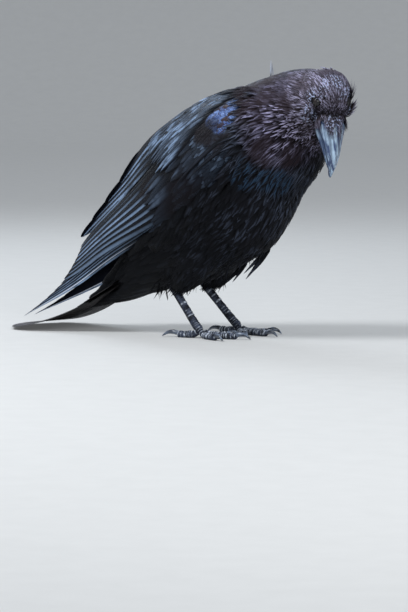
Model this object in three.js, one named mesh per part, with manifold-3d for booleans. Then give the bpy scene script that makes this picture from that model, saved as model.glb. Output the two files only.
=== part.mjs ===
// A raven standing at rest: millimetres, +Z up, +X the way the body faces, +Y to the bird's left.
// Every part is one closed solid. Rounded parts are lofts of egg-shaped rings along a smooth line;
// wings and tail are thin slabs bent over a smooth sheet. Neighbours are cut clear of each other by GAP.
// The pose is fixed: head turned to the right with the bill down, wings folded, tail laid on the floor.
import * as THREE from 'three';
import { mergeVertices } from 'three/addons/utils/BufferGeometryUtils.js';
import Module from 'manifold-3d';

const wasm = await Module();
wasm.setup();

// ---- driving dimensions ----
const GAP = 0.3;                    // clearance between neighbouring solids
const NECK_START = 0.75;            // place along the body line where trunk ends and neck begins
const HEAD_AT = [170, -28, 293];    // point midway between the eyes
const HEAD_TURN = -38;              // degrees the head is turned from +X, right is negative
const HEAD_NOD = 80;                // degrees the bill points below level
const EYE = { radius: 6.3, along: -1, out: 19.2, up: 5 };
const FEET = { right: [-7, -36], left: [8, 36] };       // where each tarsus meets its toes
const FOOT_TURN = { right: 9, left: -15 };              // degrees each middle toe points from +X
const ANKLE = { back: 46, inward: 10, height: 64 };
const COVERT_END = 0.46;            // place along the wing where the coverts end
const SECONDARY_END = 0.8;          // place along the wing where the secondaries end
const PRIMARY_DEPTH = 2.7;          // how far the primaries lie under the wing's outer sheet
const CUT_SHARE = 0.0012;           // gap at a cut across wing or body, as a share of its length
const TAIL_GRADUATION = 0.13;       // how much shorter the outermost tail feathers are
const TAIL_ROOF = 7;                // how far the edges of its base hang below the middle
const TOES = [                      // spread from the middle toe in degrees, length, girth, claw length
  { name: 'inner', spread: 34, length: 37, girth: 4.3, claw: 16 },
  { name: 'middle', spread: 0, length: 50, girth: 4.5, claw: 17 },
  { name: 'outer', spread: -38, length: 39, girth: 4.2, claw: 15 },
  { name: 'hind', spread: 176, length: 31, girth: 4.6, claw: 21 },
];
// Pads swell under each joint of a toe: [share of its length, height of the middle as a share of the
// girth there, that girth as a share of the toe's].
const PADS = [
  [0.08, 1.8, 1], [0.26, 1.15, 0.92], [0.46, 0.82, 1.06], [0.66, 0.9, 0.9], [0.84, 0.82, 1], [1, 1.05, 0.8],
];
// Claw: [share of its length, height of the middle, girth], after a root this far inside the toe.
const CLAW_ROOT = [-4, 4.6, 2.6];
const CLAW_ARCH = [[0.25, 6.4, 2.7], [0.6, 5.6, 2], [0.88, 2.6, 1.1], [1, 0.8, 0.5]];
// Tarsus: [share of the way from foot to ankle, height, [half width, front, behind]].
const TARSUS = [
  [0.86, 56, [4.4, 4.6, 5.2]], [0.5, 36, [3.5, 3.9, 4.6]], [0.16, 17, [4.2, 4.4, 4.6]],
];
const TARSUS_TOP = { behind: 3, above: 3, size: [5, 5.5, 5.5] };
const TARSUS_FOOT = { forward: 2, height: 7.4, size: [6.6, 5.6, 5] };
// Thigh: hip and knee at [x, distance from the middle, height], then the shin's flesh.
const HIP = { at: [8, 33, 126], size: [20, 26, 24] };
const KNEE = { at: [-16, 33, 99], size: [24, 27, 27] };
const SHIN = { forward: 2, out: 31, height: 76, size: [18, 18, 20] };
const SHIN_END = { forward: 4, down: 5, size: [8.5, 8.5, 9] };
const LEG_FRONT = [0.7, 0, 0.7];    // the way the front of the tarsus faces
const LEG_BACK = [-0.7, 0, 0.7];    // the way the back of the thigh faces

// Body rings, rump to nape: [centre, [half width, to the back, to the breast], direction of the back].
const BODY = [
  [[-138, 0, 55], [14, 9, 9], [-0.45, 0, 0.89]],
  [[-109, 0, 70], [28, 24, 24], [-0.65, 0, 0.76]],
  [[-81, 0, 93], [44, 44, 42], [-0.72, 0, 0.69]],
  [[-49, 0, 129], [61, 70, 76], [-0.77, 0, 0.63]],
  [[-10, 0, 177], [70, 86, 102], [-0.77, 0, 0.63]],
  [[36, 0, 225], [71, 84, 95], [-0.72, 0, 0.69]],
  [[79, 0, 256], [64, 66, 77], [-0.56, 0, 0.83]],
  [[118, -5, 280], [52, 53, 57], [-0.31, -0.1, 0.95]],
  [[165, -20, 293], [38, 41, 46], [0.1, -0.2, 0.97]],
];
// Head and bill rings in the head's own frame: [along the bill, up], [half width, above, below].
const HEAD = [
  [[-43, -16], [13, 8, 12]], [[-32, -13], [26, 20, 27]], [[-16, -11], [32, 26, 32]],
  [[-3, -10], [30, 25, 31]], [[10, -11], [33, 22, 28]], [[22, -14], [31, 16, 22]],
  [[33, -19], [22, 9, 15]], [[42, -24], [11, 5, 9]],
];
const BILL_UPPER = [
  [[17, -1], [16, 9, 9]], [[34, 0.5], [14.3, 9.5, 8]], [[50, 0], [11.4, 8.6, 7]],
  [[65, -2.5], [8, 6.8, 5.4]], [[78, -8], [4.4, 4.6, 3.8]], [[88, -16], [1.4, 1.8, 1.6]],
];
const BILL_LOWER = [
  [[17, -14], [14.5, 4, 8]], [[36, -10.5], [12.5, 3.5, 7]], [[54, -9], [9.3, 3, 5.4]],
  [[70, -10], [5.6, 2.2, 3.4]], [[80, -12], [2.2, 1.4, 1.5]],
];
// Folded right wing: upper edge, crest and lower edge, shoulder to tip.
const WING_UPPER = [
  [47, -34, 309], [-16, -26, 287], [-82, -17, 245], [-136, -9, 182], [-189, -6, 124],
  [-233, -6, 72], [-286, -9, 21],
];
const WING_CREST = [
  [78, -66, 281], [42, -81, 257], [-9, -86, 209], [-71, -75, 159], [-143, -53, 114],
  [-210, -29, 67], [-287, -14, 17],
];
const WING_LOWER = [
  [76, -66, 241], [49, -77, 201], [2, -78, 158], [-61, -69, 124], [-123, -56, 94],
  [-192, -40, 57], [-285, -17, 14],
];
// Tail: middle of its upper side, base to tip, and half its width at the same places.
const TAIL_LINE = [[-66, 0, 122], [-124, 0, 74], [-184, 0, 34], [-244, 0, 10], [-300, 0, 1.6]];
const TAIL_HALF_WIDTH = [15, 29, 43, 54, 59];

// ---- shape tools ----
const vector = (p) => new THREE.Vector3(p[0], p[1], p[2] ?? 0);
const smooth = (points) => new THREE.CatmullRomCurve3(points.map(vector), false, 'catmullrom', 0.5);
const level = (values) => smooth(values.map((v) => [v, 0, 0]));
const radians = THREE.MathUtils.degToRad;

// Radius multiplier that rounds the first and last share of a loft.
function rounding(t, first, last) {
  const arc = (x, share) => (share > 0 && x < share ? Math.sqrt(Math.max(0, 1 - (1 - x / share) ** 2)) : 1);
  return arc(t, first) * arc(1 - t, last);
}

// Closed geometry from equal rings, with a point closing each end.
function skinRings(rings, firstPoint, lastPoint) {
  const sides = rings[0].length;
  const points = [...rings.flat(), firstPoint, lastPoint];
  const first = points.length - 2;
  const end = (rings.length - 1) * sides;
  const index = [];
  for (let k = 0; k < sides; k++) {
    const next = (k + 1) % sides;
    for (let i = 0; i < end; i += sides) {
      index.push(i + k, i + sides + k, i + sides + next, i + k, i + sides + next, i + next);
    }
    index.push(first, k, next, first + 1, end + next, end + k);
  }
  return closedGeometry(points, index);
}

// Geometry whose faces are turned outward, whichever way round the points came.
function closedGeometry(points, index) {
  let volume = 0;
  for (let i = 0; i < index.length; i += 3) {
    volume += points[index[i]].dot(points[index[i + 1]].clone().cross(points[index[i + 2]]));
  }
  const geometry = new THREE.BufferGeometry().setFromPoints(points);
  geometry.setIndex(volume > 0 ? index : index.reverse());
  return geometry;
}

// Loft of egg-shaped rings. A ring's point is centre + across * width * sin + back * depth * cos,
// where depth is the back size above the centre line and the breast size below it.
function loft(stations, { rings = 16, sides = 16, first = 0.1, last = 0.1, grow = 0, from = 0, to = 1 }) {
  const centres = smooth(stations.map((s) => s[0]));
  const sizes = smooth(stations.map((s) => s[1]));
  const backs = smooth(stations.map((s) => s[2]));
  const ring = (t) => {
    const centre = centres.getPoint(t);
    const size = sizes.getPoint(t);
    const along = centres.getPoint(Math.min(1, t + 1e-3)).sub(centres.getPoint(Math.max(0, t - 1e-3)));
    along.normalize();
    const across = backs.getPoint(t).cross(along).normalize();
    const back = along.clone().cross(across);
    const round = rounding(t, first, last);
    return Array.from({ length: sides }, (_, k) => {
      const angle = (k / sides) * 2 * Math.PI;
      const depth = (Math.cos(angle) > 0 ? size.y : size.z) * round + grow;
      return centre.clone()
        .addScaledVector(across, (size.x * round + grow) * Math.sin(angle))
        .addScaledVector(back, depth * Math.cos(angle));
    });
  };
  // Rings crowd towards the rounded ends.
  const places = Array.from({ length: rings }, (_, i) => {
    const even = (i + 0.5 * (first > 0)) / (rings - 1 + 0.5 * (first > 0) + 0.5 * (last > 0));
    return from + (to - from) * (even - (0.1 * Math.sin(2 * Math.PI * even)));
  });
  const beyond = (t, step) => centres.getPoint(t).sub(centres.getPoint(t + step)).normalize();
  const start = centres.getPoint(from).addScaledVector(beyond(from, 1e-3), grow);
  const finish = centres.getPoint(to).addScaledVector(beyond(to, -1e-3), grow);
  return skinRings(places.map(ring), start, finish);
}

// Thin slab under a sheet: sheet(s, t) gives the upper side, thickness(s, t) how far the under side is.
function slab(sheet, thickness, alongSteps, acrossSteps, toward) {
  const upper = [];
  const under = [];
  const step = 1e-3;
  for (let i = 0; i <= alongSteps; i++) {
    for (let j = 0; j <= acrossSteps; j++) {
      const [s, t] = [i / alongSteps, j / acrossSteps];
      const point = sheet(s, t);
      const alongway = sheet(s + step, t).sub(sheet(s - step, t));
      const acrossway = sheet(s, t + step).sub(sheet(s, t - step));
      const normal = alongway.cross(acrossway).normalize();
      if (normal.dot(toward) < 0) normal.negate();
      upper.push(point);
      under.push(point.clone().addScaledVector(normal, -thickness(s, t)));
    }
  }
  const row = acrossSteps + 1;
  const count = upper.length;
  const index = [];
  const quad = (a, b, c, d) => index.push(a, b, c, a, c, d);
  for (let i = 0; i < alongSteps; i++) {
    for (let j = 0; j < acrossSteps; j++) {
      const a = i * row + j;
      quad(a, a + 1, a + row + 1, a + row);
      quad(count + a, count + a + row, count + a + row + 1, count + a + 1);
    }
    const [low, high] = [i * row, i * row + acrossSteps];
    quad(low, low + row, count + low + row, count + low);
    quad(high, count + high, count + high + row, high + row);
  }
  const lastRow = alongSteps * row;
  for (let j = 0; j < acrossSteps; j++) {
    quad(j, count + j, count + j + 1, j + 1);
    quad(lastRow + j, lastRow + j + 1, count + lastRow + j + 1, count + lastRow + j);
  }
  return closedGeometry([...upper, ...under], index);
}

// A solid for joining and cutting, from any closed geometry.
function solid(geometry) {
  const bare = geometry.clone();
  bare.deleteAttribute('normal');
  bare.deleteAttribute('uv');
  const merged = mergeVertices(bare, 1e-4);
  return new wasm.Manifold(new wasm.Mesh({
    numProp: 3,
    vertProperties: new Float32Array(merged.attributes.position.array),
    triVerts: new Uint32Array(merged.index.array),
  }));
}

const raven = new THREE.Group();

// Adds a named mesh of a solid to the bird.
function add(name, shape, finish) {
  const cut = shape.getMesh();
  const geometry = new THREE.BufferGeometry();
  geometry.setAttribute('position', new THREE.BufferAttribute(cut.vertProperties, 3));
  geometry.setIndex(new THREE.BufferAttribute(cut.triVerts, 1));
  geometry.computeVertexNormals();
  const mesh = new THREE.Mesh(geometry, finish);
  mesh.name = name;
  raven.add(mesh);
}

const finish = (color, roughness, metalness = 0) => (
  new THREE.MeshStandardMaterial({ color, roughness, metalness }));
const PLUMAGE = finish(0x1c1a20, 0.55);
const FLIGHT = finish(0x171b2c, 0.4);
const HORN = finish(0x3a424d, 0.3);
const SCALE = finish(0x262b33, 0.5);
const EYEBALL = finish(0x0a0705, 0.05);

// Everything under the floor, cut away to leave flats at one level.
const floorBlock = new THREE.BoxGeometry(1200, 600, 60);
floorBlock.translate(0, 0, -30);
const underFloor = solid(floorBlock);

// ---- head and bill ----
const headFrame = (() => {
  const turn = radians(HEAD_TURN);
  const nod = radians(HEAD_NOD);
  const facing = new THREE.Vector3(Math.cos(turn), Math.sin(turn), 0);
  const up = new THREE.Vector3(0, 0, 1);
  const bill = facing.clone().multiplyScalar(Math.cos(nod)).addScaledVector(up, -Math.sin(nod));
  const crown = facing.clone().multiplyScalar(Math.sin(nod)).addScaledVector(up, Math.cos(nod));
  const left = crown.clone().cross(bill);
  return new THREE.Matrix4().makeBasis(bill, left, crown).setPosition(vector(HEAD_AT));
})();

// Loft given in the head's frame and placed on the bird.
function headLoft(rows, options) {
  const stations = rows.map(([[along, up], size]) => [[along, 0, up], size, [0, 0, 1]]);
  return loft(stations, options).applyMatrix4(headFrame);
}

function eyeball(side, grow) {
  const ball = new THREE.SphereGeometry(EYE.radius + grow, 12, 7);
  ball.translate(EYE.along, side * EYE.out, EYE.up);
  return solid(ball.applyMatrix4(headFrame));
}

const headShape = { rings: 14, sides: 20, first: 0.14, last: 0.14 };
const upperShape = { rings: 10, sides: 12, first: 0, last: 0.06 };
const lowerShape = { rings: 7, sides: 12, first: 0, last: 0.08 };
const upperBill = solid(headLoft(BILL_UPPER, upperShape));
const clearOfUpper = solid(headLoft(BILL_UPPER, { ...upperShape, grow: GAP }));
const clearOfLower = solid(headLoft(BILL_LOWER, { ...lowerShape, grow: GAP }));
const clearOfHead = solid(headLoft(HEAD, { ...headShape, grow: GAP }));
add('bill_upper', upperBill, HORN);
add('bill_lower', solid(headLoft(BILL_LOWER, lowerShape)).subtract(clearOfUpper), HORN);
let head = solid(headLoft(HEAD, headShape)).subtract(clearOfUpper).subtract(clearOfLower);
for (const [name, side] of [['right', -1], ['left', 1]]) {
  add(`eye_${name}`, eyeball(side, 0), EYEBALL);
  head = head.subtract(eyeball(side, GAP));
}
add('head', head, PLUMAGE);

// ---- legs ----
const SIDES = [['right', -1], ['left', 1]];
const clearOfThighs = [];

function toeParts(name, side, foot, toe) {
  const heading = radians(FOOT_TURN[name] - side * toe.spread);
  const at = (reach, height) => [
    foot[0] + Math.cos(heading) * reach, foot[1] + Math.sin(heading) * reach, height,
  ];
  const ringAt = (reach, height, girth) => [at(reach, height), [girth, girth, girth], [0, 0, 1]];
  const toeRings = PADS.map(([share, lift, girth]) => (
    ringAt(share * toe.length, lift * girth * toe.girth, girth * toe.girth)));
  const [rootReach, ...rootRing] = CLAW_ROOT;
  const clawRings = CLAW_ARCH.map(([share, height, girth]) => (
    ringAt(toe.length + share * toe.claw, height, girth)));
  return { toeRings, clawRings: [ringAt(toe.length + rootReach, ...rootRing), ...clawRings] };
}

for (const [name, side] of SIDES) {
  const foot = FEET[name];
  const ankle = [foot[0] - ANKLE.back, foot[1] - side * ANKLE.inward, ANKLE.height];
  const between = (share, height) => [
    foot[0] + (ankle[0] - foot[0]) * share, foot[1] + (ankle[1] - foot[1]) * share, height,
  ];
  const tarsusTop = [ankle[0] - TARSUS_TOP.behind, ankle[1], ankle[2] + TARSUS_TOP.above];
  const tarsusRings = [
    [tarsusTop, TARSUS_TOP.size, LEG_FRONT],
    ...TARSUS.map(([share, height, size]) => [between(share, height), size, LEG_FRONT]),
    [[foot[0] + TARSUS_FOOT.forward, foot[1], TARSUS_FOOT.height], TARSUS_FOOT.size, LEG_FRONT],
  ];
  const tarsusShape = { rings: 8, sides: 9, first: 0.14, last: 0.2 };
  const clearOfTarsus = solid(loft(tarsusRings, { ...tarsusShape, grow: GAP }));
  add(`tarsus_${name}`, solid(loft(tarsusRings, tarsusShape)).subtract(underFloor), SCALE);

  const shinX = (ankle[0] + KNEE.at[0]) / 2 + SHIN.forward;
  const thighRings = [
    ...[HIP, KNEE].map(({ at: [x, out, z], size }) => [[x, side * out, z], size, LEG_BACK]),
    [[shinX, side * SHIN.out, SHIN.height], SHIN.size, LEG_BACK],
    [[ankle[0] + SHIN_END.forward, ankle[1], ankle[2] - SHIN_END.down], SHIN_END.size, LEG_BACK],
  ];
  const thighShape = { rings: 10, sides: 12, first: 0.3, last: 0.16 };
  clearOfThighs.push(solid(loft(thighRings, { ...thighShape, grow: GAP })));
  add(`thigh_${name}`, solid(loft(thighRings, thighShape)).subtract(clearOfTarsus), PLUMAGE);

  let taken = clearOfTarsus;
  for (const toe of TOES) {
    const { toeRings, clawRings } = toeParts(name, side, foot, toe);
    const toeShape = { rings: 7, sides: 8, first: 0.1, last: 0.12 };
    const clawShape = { rings: 6, sides: 6, first: 0.1, last: 0.06 };
    const clearOfClaw = solid(loft(clawRings, { ...clawShape, grow: GAP }));
    const body = solid(loft(toeRings, toeShape)).subtract(taken).subtract(clearOfClaw);
    add(`toe_${toe.name}_${name}`, body.subtract(underFloor), SCALE);
    add(`claw_${toe.name}_${name}`, solid(loft(clawRings, clawShape)).subtract(underFloor), HORN);
    taken = taken.add(solid(loft(toeRings, { ...toeShape, grow: GAP })));
  }
}

// ---- tail ----
const tailLine = smooth(TAIL_LINE);
const tailWidth = level(TAIL_HALF_WIDTH);

// Sheet point: the tail's line at s, shortened towards the edges, spread across by its half width.
function tailSheet(s, t) {
  const across = 2 * t - 1;
  const reach = s * (1 - TAIL_GRADUATION * Math.abs(across) ** 1.6);
  const point = tailLine.getPoint(Math.min(1, Math.max(0, reach)));
  point.y += across * tailWidth.getPoint(Math.min(1, Math.max(0, s))).x;
  point.z -= TAIL_ROOF * (1 - reach) * across ** 2;
  return point;
}
const tailThickness = (s, t) => 1.1 + 2.6 * (1 - (2 * t - 1) ** 2) * (1 - 0.45 * s);
const tail = solid(slab(tailSheet, tailThickness, 11, 8, new THREE.Vector3(0, 0, 1)));

// ---- trunk and neck ----
const trunkShape = { rings: 15, sides: 20, first: 0.08, last: 0, to: NECK_START - CUT_SHARE };
const neckShape = { rings: 7, sides: 20, first: 0, last: 0.06, from: NECK_START };
const clearOfTrunk = solid(loft(BODY, { ...trunkShape, grow: GAP }));
let trunk = solid(loft(BODY, trunkShape));
for (const clear of clearOfThighs) trunk = trunk.subtract(clear);
add('trunk', trunk, PLUMAGE);
add('tail', tail.subtract(underFloor).subtract(clearOfTrunk), FLIGHT);
add('neck', solid(loft(BODY, neckShape)).subtract(clearOfHead), PLUMAGE);
const clearOfBody = clearOfTrunk
  .add(solid(loft(BODY, { ...neckShape, grow: GAP })))
  .add(clearOfHead);

// ---- wings ----
const wingLines = [WING_UPPER, WING_CREST, WING_LOWER].map(smooth);

// Sheet point: the parabola across the wing through its upper edge, crest and lower edge at s.
function wingSheet(s, t, side) {
  const [upper, crest, lower] = wingLines.map((line) => line.getPoint(Math.min(1, Math.max(0, s))));
  const point = upper.multiplyScalar((1 - t) * (1 - 2 * t));
  point.addScaledVector(crest, 4 * t * (1 - t)).addScaledVector(lower, t * (2 * t - 1));
  point.y *= -side;
  return point;
}

// The wing's layers: places along it, edge(s) = [first t, last t], depth under the wing's sheet and
// thickness. The coverts' layer also holds the arm, so it is thickest past the shoulder.
const thinEdge = (t) => Math.sqrt(Math.max(0, 1 - Math.abs(2 * t - 1) ** 3));
const armThickness = (s) => (11 - 7 * s) * Math.sqrt(Math.min(1, 0.05 + 3 * s));
const WING_LAYERS = [
  {
    name: 'wing', from: 0, to: COVERT_END - CUT_SHARE, deep: 0, steps: [10, 9],
    edge: () => [0, 1], thickness: (s, t) => 1.2 + armThickness(s) * thinEdge(t),
  },
  {
    name: 'secondaries', from: COVERT_END, to: SECONDARY_END, deep: 0, steps: [8, 6],
    edge: (s) => [0.34 * s ** 3, 1 - 0.42 * s ** 1.5], thickness: (s, t) => 1 + 1.2 * thinEdge(t),
  },
  {
    name: 'primaries', from: COVERT_END, to: 1, deep: PRIMARY_DEPTH, steps: [11, 5],
    edge: (s) => [0.22 * (1 - s), 1], thickness: (s, t) => 0.8 + 1.6 * (1 - s) * thinEdge(t),
  },
];

// One layer of a wing, under the wing's sheet.
function wingLayer(side, { from, to, edge, deep, thickness, steps }) {
  const outward = new THREE.Vector3(-0.3, side, 0.5);
  const sheet = (s, t) => {
    const along = from + (to - from) * s;
    const [low, high] = edge(Math.min(1, Math.max(0, s)));
    const across = low + (high - low) * t;
    return wingSheet(along, across, side);
  };
  const lowered = (s, t) => {
    const step = 1e-3;
    const normal = sheet(s + step, t).sub(sheet(s - step, t))
      .cross(sheet(s, t + step).sub(sheet(s, t - step))).normalize();
    if (normal.dot(outward) < 0) normal.negate();
    return sheet(s, t).addScaledVector(normal, -deep);
  };
  return solid(slab(lowered, thickness, steps[0], steps[1], outward));
}

for (const [name, side] of SIDES) {
  const clear = (layer) => layer.subtract(clearOfBody).subtract(clearOfThighs[side < 0 ? 0 : 1]);
  for (const layer of WING_LAYERS) {
    add(`${layer.name}_${name}`, clear(wingLayer(side, layer)), FLIGHT);
  }
}

// ---- origin: middle of the whole bird's box, on the floor ----
const whole = new THREE.Box3().setFromObject(raven);
const middle = whole.getCenter(new THREE.Vector3());
raven.position.set(-middle.x, -middle.y, 0);
raven.updateMatrixWorld(true);

export default raven;
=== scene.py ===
"""A raven standing at rest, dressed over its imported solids.

One skin stands for all the flesh. Over it lie closed vanes of feather, laid along the body, head,
wings and tail by the same curves that shape the solids. Bill, eyes, scaly legs and claws are pieces
of their own. Shapes are worked out in millimetres in the bird's own frame (+X the way the body
faces, +Y to its left, floor at z = 0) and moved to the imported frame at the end.
"""
from math import cos, pi, radians, sin, tau

import bpy
import numpy as np
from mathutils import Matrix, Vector


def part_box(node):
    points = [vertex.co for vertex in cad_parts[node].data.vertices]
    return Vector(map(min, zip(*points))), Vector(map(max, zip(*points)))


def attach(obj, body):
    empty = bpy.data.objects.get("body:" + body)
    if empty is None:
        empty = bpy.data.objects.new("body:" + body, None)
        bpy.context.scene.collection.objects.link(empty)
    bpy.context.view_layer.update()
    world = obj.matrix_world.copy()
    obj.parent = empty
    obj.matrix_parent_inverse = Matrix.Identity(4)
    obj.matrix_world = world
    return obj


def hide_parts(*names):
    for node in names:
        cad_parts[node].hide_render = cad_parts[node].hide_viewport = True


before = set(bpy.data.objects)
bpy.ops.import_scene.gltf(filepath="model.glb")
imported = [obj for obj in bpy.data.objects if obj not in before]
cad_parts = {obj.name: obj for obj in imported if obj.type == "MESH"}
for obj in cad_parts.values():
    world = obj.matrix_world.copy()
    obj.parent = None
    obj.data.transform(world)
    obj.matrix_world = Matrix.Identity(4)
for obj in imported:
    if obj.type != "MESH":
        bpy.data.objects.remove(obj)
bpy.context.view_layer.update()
random = np.random.default_rng(11)

# ---- driving dimensions, millimetres ----
HEAD_AT = (170, -28, 293)
HEAD_TURN, HEAD_NOD = -38, 80
EYE_RADIUS, EYE_ALONG, EYE_OUT, EYE_UP = 6.3, -1, 19.2, 5
FEET = {"right": (-7, -36), "left": (8, 36)}
FOOT_TURN = {"right": 9, "left": -15}
ANKLE_BACK, ANKLE_INWARD, ANKLE_HEIGHT = 46, 10, 64
COVERT_END = 0.46                   # place along a wing where its fleshy part ends
TAIL_GRADUATION, TAIL_ROOF = 0.13, 7
BODY_ENDS, FACE_ENDS = (0.08, 0.06), (0.14, 0.14)    # shares of a loft rounded off at its two ends
SIDES = {"right": -1, "left": 1}
COAT_DEPTH, HEAD_COAT, THIGH_COAT, WING_COAT = 4.5, 2.4, 3.2, 3.6    # skin's depth in the solids
WING_FLESH = 9.0                    # depth of the underside of a wing's flesh
SKIN_VOXEL = 0.0022                 # metres
TUFT_PATCH = 0.003                  # side of a feather's patch on the map OFBake

# Body rings, rump to nape: centre, (half width, to the back, to the breast), direction of the back.
BODY = [
    ((-138, 0, 55), (14, 9, 9), (-0.45, 0, 0.89)), ((-109, 0, 70), (28, 24, 24), (-0.65, 0, 0.76)),
    ((-81, 0, 93), (44, 44, 42), (-0.72, 0, 0.69)), ((-49, 0, 129), (61, 70, 76), (-0.77, 0, 0.63)),
    ((-10, 0, 177), (70, 86, 102), (-0.77, 0, 0.63)), ((36, 0, 225), (71, 84, 95), (-0.72, 0, 0.69)),
    ((79, 0, 256), (64, 66, 77), (-0.56, 0, 0.83)), ((118, -5, 280), (52, 53, 57), (-0.31, -0.1, 0.95)),
    ((165, -20, 293), (38, 41, 46), (0.1, -0.2, 0.97)),
]
# Head and bill rings in the head's own frame: (along the bill, up), (half width, above, below).
HEAD = [
    ((-43, -16), (13, 8, 12)), ((-32, -13), (26, 20, 27)), ((-16, -11), (32, 26, 32)),
    ((-3, -10), (30, 25, 31)), ((10, -11), (33, 22, 28)), ((22, -14), (31, 16, 22)),
    ((33, -19), (22, 9, 15)), ((42, -24), (11, 5, 9)),
]
BILL_UPPER = [
    ((17, -1), (16, 9, 9)), ((34, 0.5), (14.3, 9.5, 8)), ((50, 0), (11.4, 8.6, 7)),
    ((65, -2.5), (8, 6.8, 5.4)), ((78, -8), (4.4, 4.6, 3.8)), ((88, -16), (1.4, 1.8, 1.6)),
]
BILL_LOWER = [
    ((17, -14), (14.5, 4, 8)), ((36, -10.5), (12.5, 3.5, 7)), ((54, -9), (9.3, 3, 5.4)),
    ((70, -10), (5.6, 2.2, 3.4)), ((80, -12), (2.2, 1.4, 1.5)),
]
# The face's own last rings, drawn in so that the bill's root stands out of them.
FACE = HEAD[:4] + [((9, -11), (29, 21, 27)), ((18, -15), (16, 12, 19)), ((28, -20), (10, 5.5, 12)),
                   ((38, -24), (6.5, 3, 7))]
# Folded right wing: upper edge, crest and lower edge, shoulder to tip.
WING_UPPER = [(47, -34, 309), (-16, -26, 287), (-82, -17, 245), (-136, -9, 182), (-189, -6, 124),
              (-233, -6, 72), (-286, -9, 21)]
WING_CREST = [(78, -66, 281), (42, -81, 257), (-9, -86, 209), (-71, -75, 159), (-143, -53, 114),
              (-210, -29, 67), (-287, -14, 17)]
WING_LOWER = [(76, -66, 241), (49, -77, 201), (2, -78, 158), (-61, -69, 124), (-123, -56, 94),
              (-192, -40, 57), (-285, -17, 14)]
# Tail: middle of its upper side, base to tip, and half its width at the same places.
TAIL_LINE = [(-66, 0, 122), (-124, 0, 74), (-184, 0, 34), (-244, 0, 10), (-300, 0, 1.6)]
TAIL_HALF_WIDTH = [15, 29, 43, 54, 59]
# Toes: name, spread from the middle toe in degrees, length, girth, claw length. Pads: share of the
# toe's length, height over thickness, thickness over girth. Claws: share of length, height, thickness.
TOES = [("inner", 34, 37, 4.3, 16), ("middle", 0, 50, 4.5, 17), ("outer", -38, 39, 4.2, 15),
        ("hind", 176, 31, 4.6, 21)]
PADS = [(0.08, 1.8, 1), (0.26, 1.15, 0.92), (0.46, 0.82, 1.06), (0.66, 0.9, 0.9), (0.84, 0.82, 1),
        (1, 1.05, 0.8)]
CLAW_ARCH = [(0.25, 6.4, 2.7), (0.6, 5.6, 2), (0.88, 2.6, 1.1), (1, 0.8, 0.5)]


# ---- curves and surfaces ----
def grid(rows, columns):
    """Two arrays that pair each of the rows' values with each of the columns'."""
    return np.meshgrid(rows, columns, indexing="ij")


def turns(count):
    """A whole turn's angles in even steps, from 0."""
    return np.arange(count) * tau / count


def unit(v):
    """v / |v|, along the last axis."""
    return v / np.maximum(np.linalg.norm(v, axis=-1, keepdims=True), 1e-9)


def ease(x, low, high):
    """0 under low, 1 over high, and 3k^2 - 2k^3 between, where k is the share of the way."""
    k = np.clip((x - low) / (high - low), 0, 1)
    return k * k * (3 - 2 * k)


def along_line(points, t):
    """Point at t from 0 to 1 on the Catmull-Rom line through points a, b, c, d:
    b + w(c - a)/2 + w^2(a - 5b/2 + 2c - d/2) + w^3(3(b - c) + d - a)/2, with w the share of a step."""
    p = np.asarray(points, float)
    p = np.vstack([2 * p[0] - p[1], p, 2 * p[-1] - p[-2]])
    x = np.clip(np.asarray(t, float), 0, 1) * (len(p) - 3)
    i = np.minimum(x.astype(int), len(p) - 4)
    w = (x - i)[..., None]
    a, b, c, d = p[i], p[i + 1], p[i + 2], p[i + 3]
    return (b + w * (c - a) / 2 + w**2 * (a - 2.5 * b + 2 * c - d / 2)
            + w**3 * (3 * (b - c) + d - a) / 2)


def rounding(t, first, last):
    """Radius share: a quarter circle over the first and last share of t, 1 between."""
    out = np.ones_like(t)
    for x, share in ((t, first), (1 - t, last)):
        if share > 0:
            out = out * np.sqrt(np.clip(1 - np.clip(1 - x / share, 0, 1) ** 2, 0, 1))
    return out


class Surface:
    """A shape at(u, v) of two parameters, and the sign that turns its normals outward."""

    def __init__(self, at, turn=1, limits=((0, 1), (-9, 9))):
        self.at, self.turn, self.limits = at, turn, limits

    def inside(self, u, v, margin=0.0):
        """u and v held within the shape's limits, less a margin."""
        (a, b), (c, d) = self.limits
        return np.clip(u, a + margin, b - margin), np.clip(v, c + margin, d - margin)

    def slopes(self, u, v, step=1e-3):
        """Central differences of the shape by u and by v."""
        u, v = self.inside(u, v, step)
        by_u = (self.at(u + step, v) - self.at(u - step, v)) / (2 * step)
        by_v = (self.at(u, v + step) - self.at(u, v - step)) / (2 * step)
        return by_u, by_v

    def normal(self, u, v):
        """Cross product of the slopes, at length 1, turned outward."""
        by_u, by_v = self.slopes(u, v)
        return unit(np.cross(by_u, by_v)) * self.turn

    def raised(self, u, v, height):
        """Shape point plus height along the normal."""
        u, v = self.inside(u, v)
        return self.at(u, v) + self.normal(u, v) * np.asarray(height, float)[..., None]

    def lay(self, u, v, heading, along, across, height):
        """Points round each root (u, v): the steps in u and v that go one unit along the heading
        and one unit across solve the two slopes' own 2 by 2 system, and height is added last."""
        by_u, by_v = self.slopes(u, v)
        out = unit(np.cross(by_u, by_v)) * self.turn
        heading = unit(heading - out * (heading * out).sum(-1, keepdims=True))
        uu, uv, vv = (by_u**2).sum(-1), (by_u * by_v).sum(-1), (by_v**2).sum(-1)
        size = np.maximum(uu * vv - uv**2, 1e-6)
        steps = []
        for way in (heading, np.cross(out, heading)):
            x, y = (way * by_u).sum(-1), (way * by_v).sum(-1)
            steps += [(vv * x - uv * y) / size, (uu * y - uv * x) / size]
        fu, fv, su, sv = (s[..., None] for s in steps)
        return self.raised(u[..., None] + along * fu + across * su,
                           v[..., None] + along * fv + across * sv, height)


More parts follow.
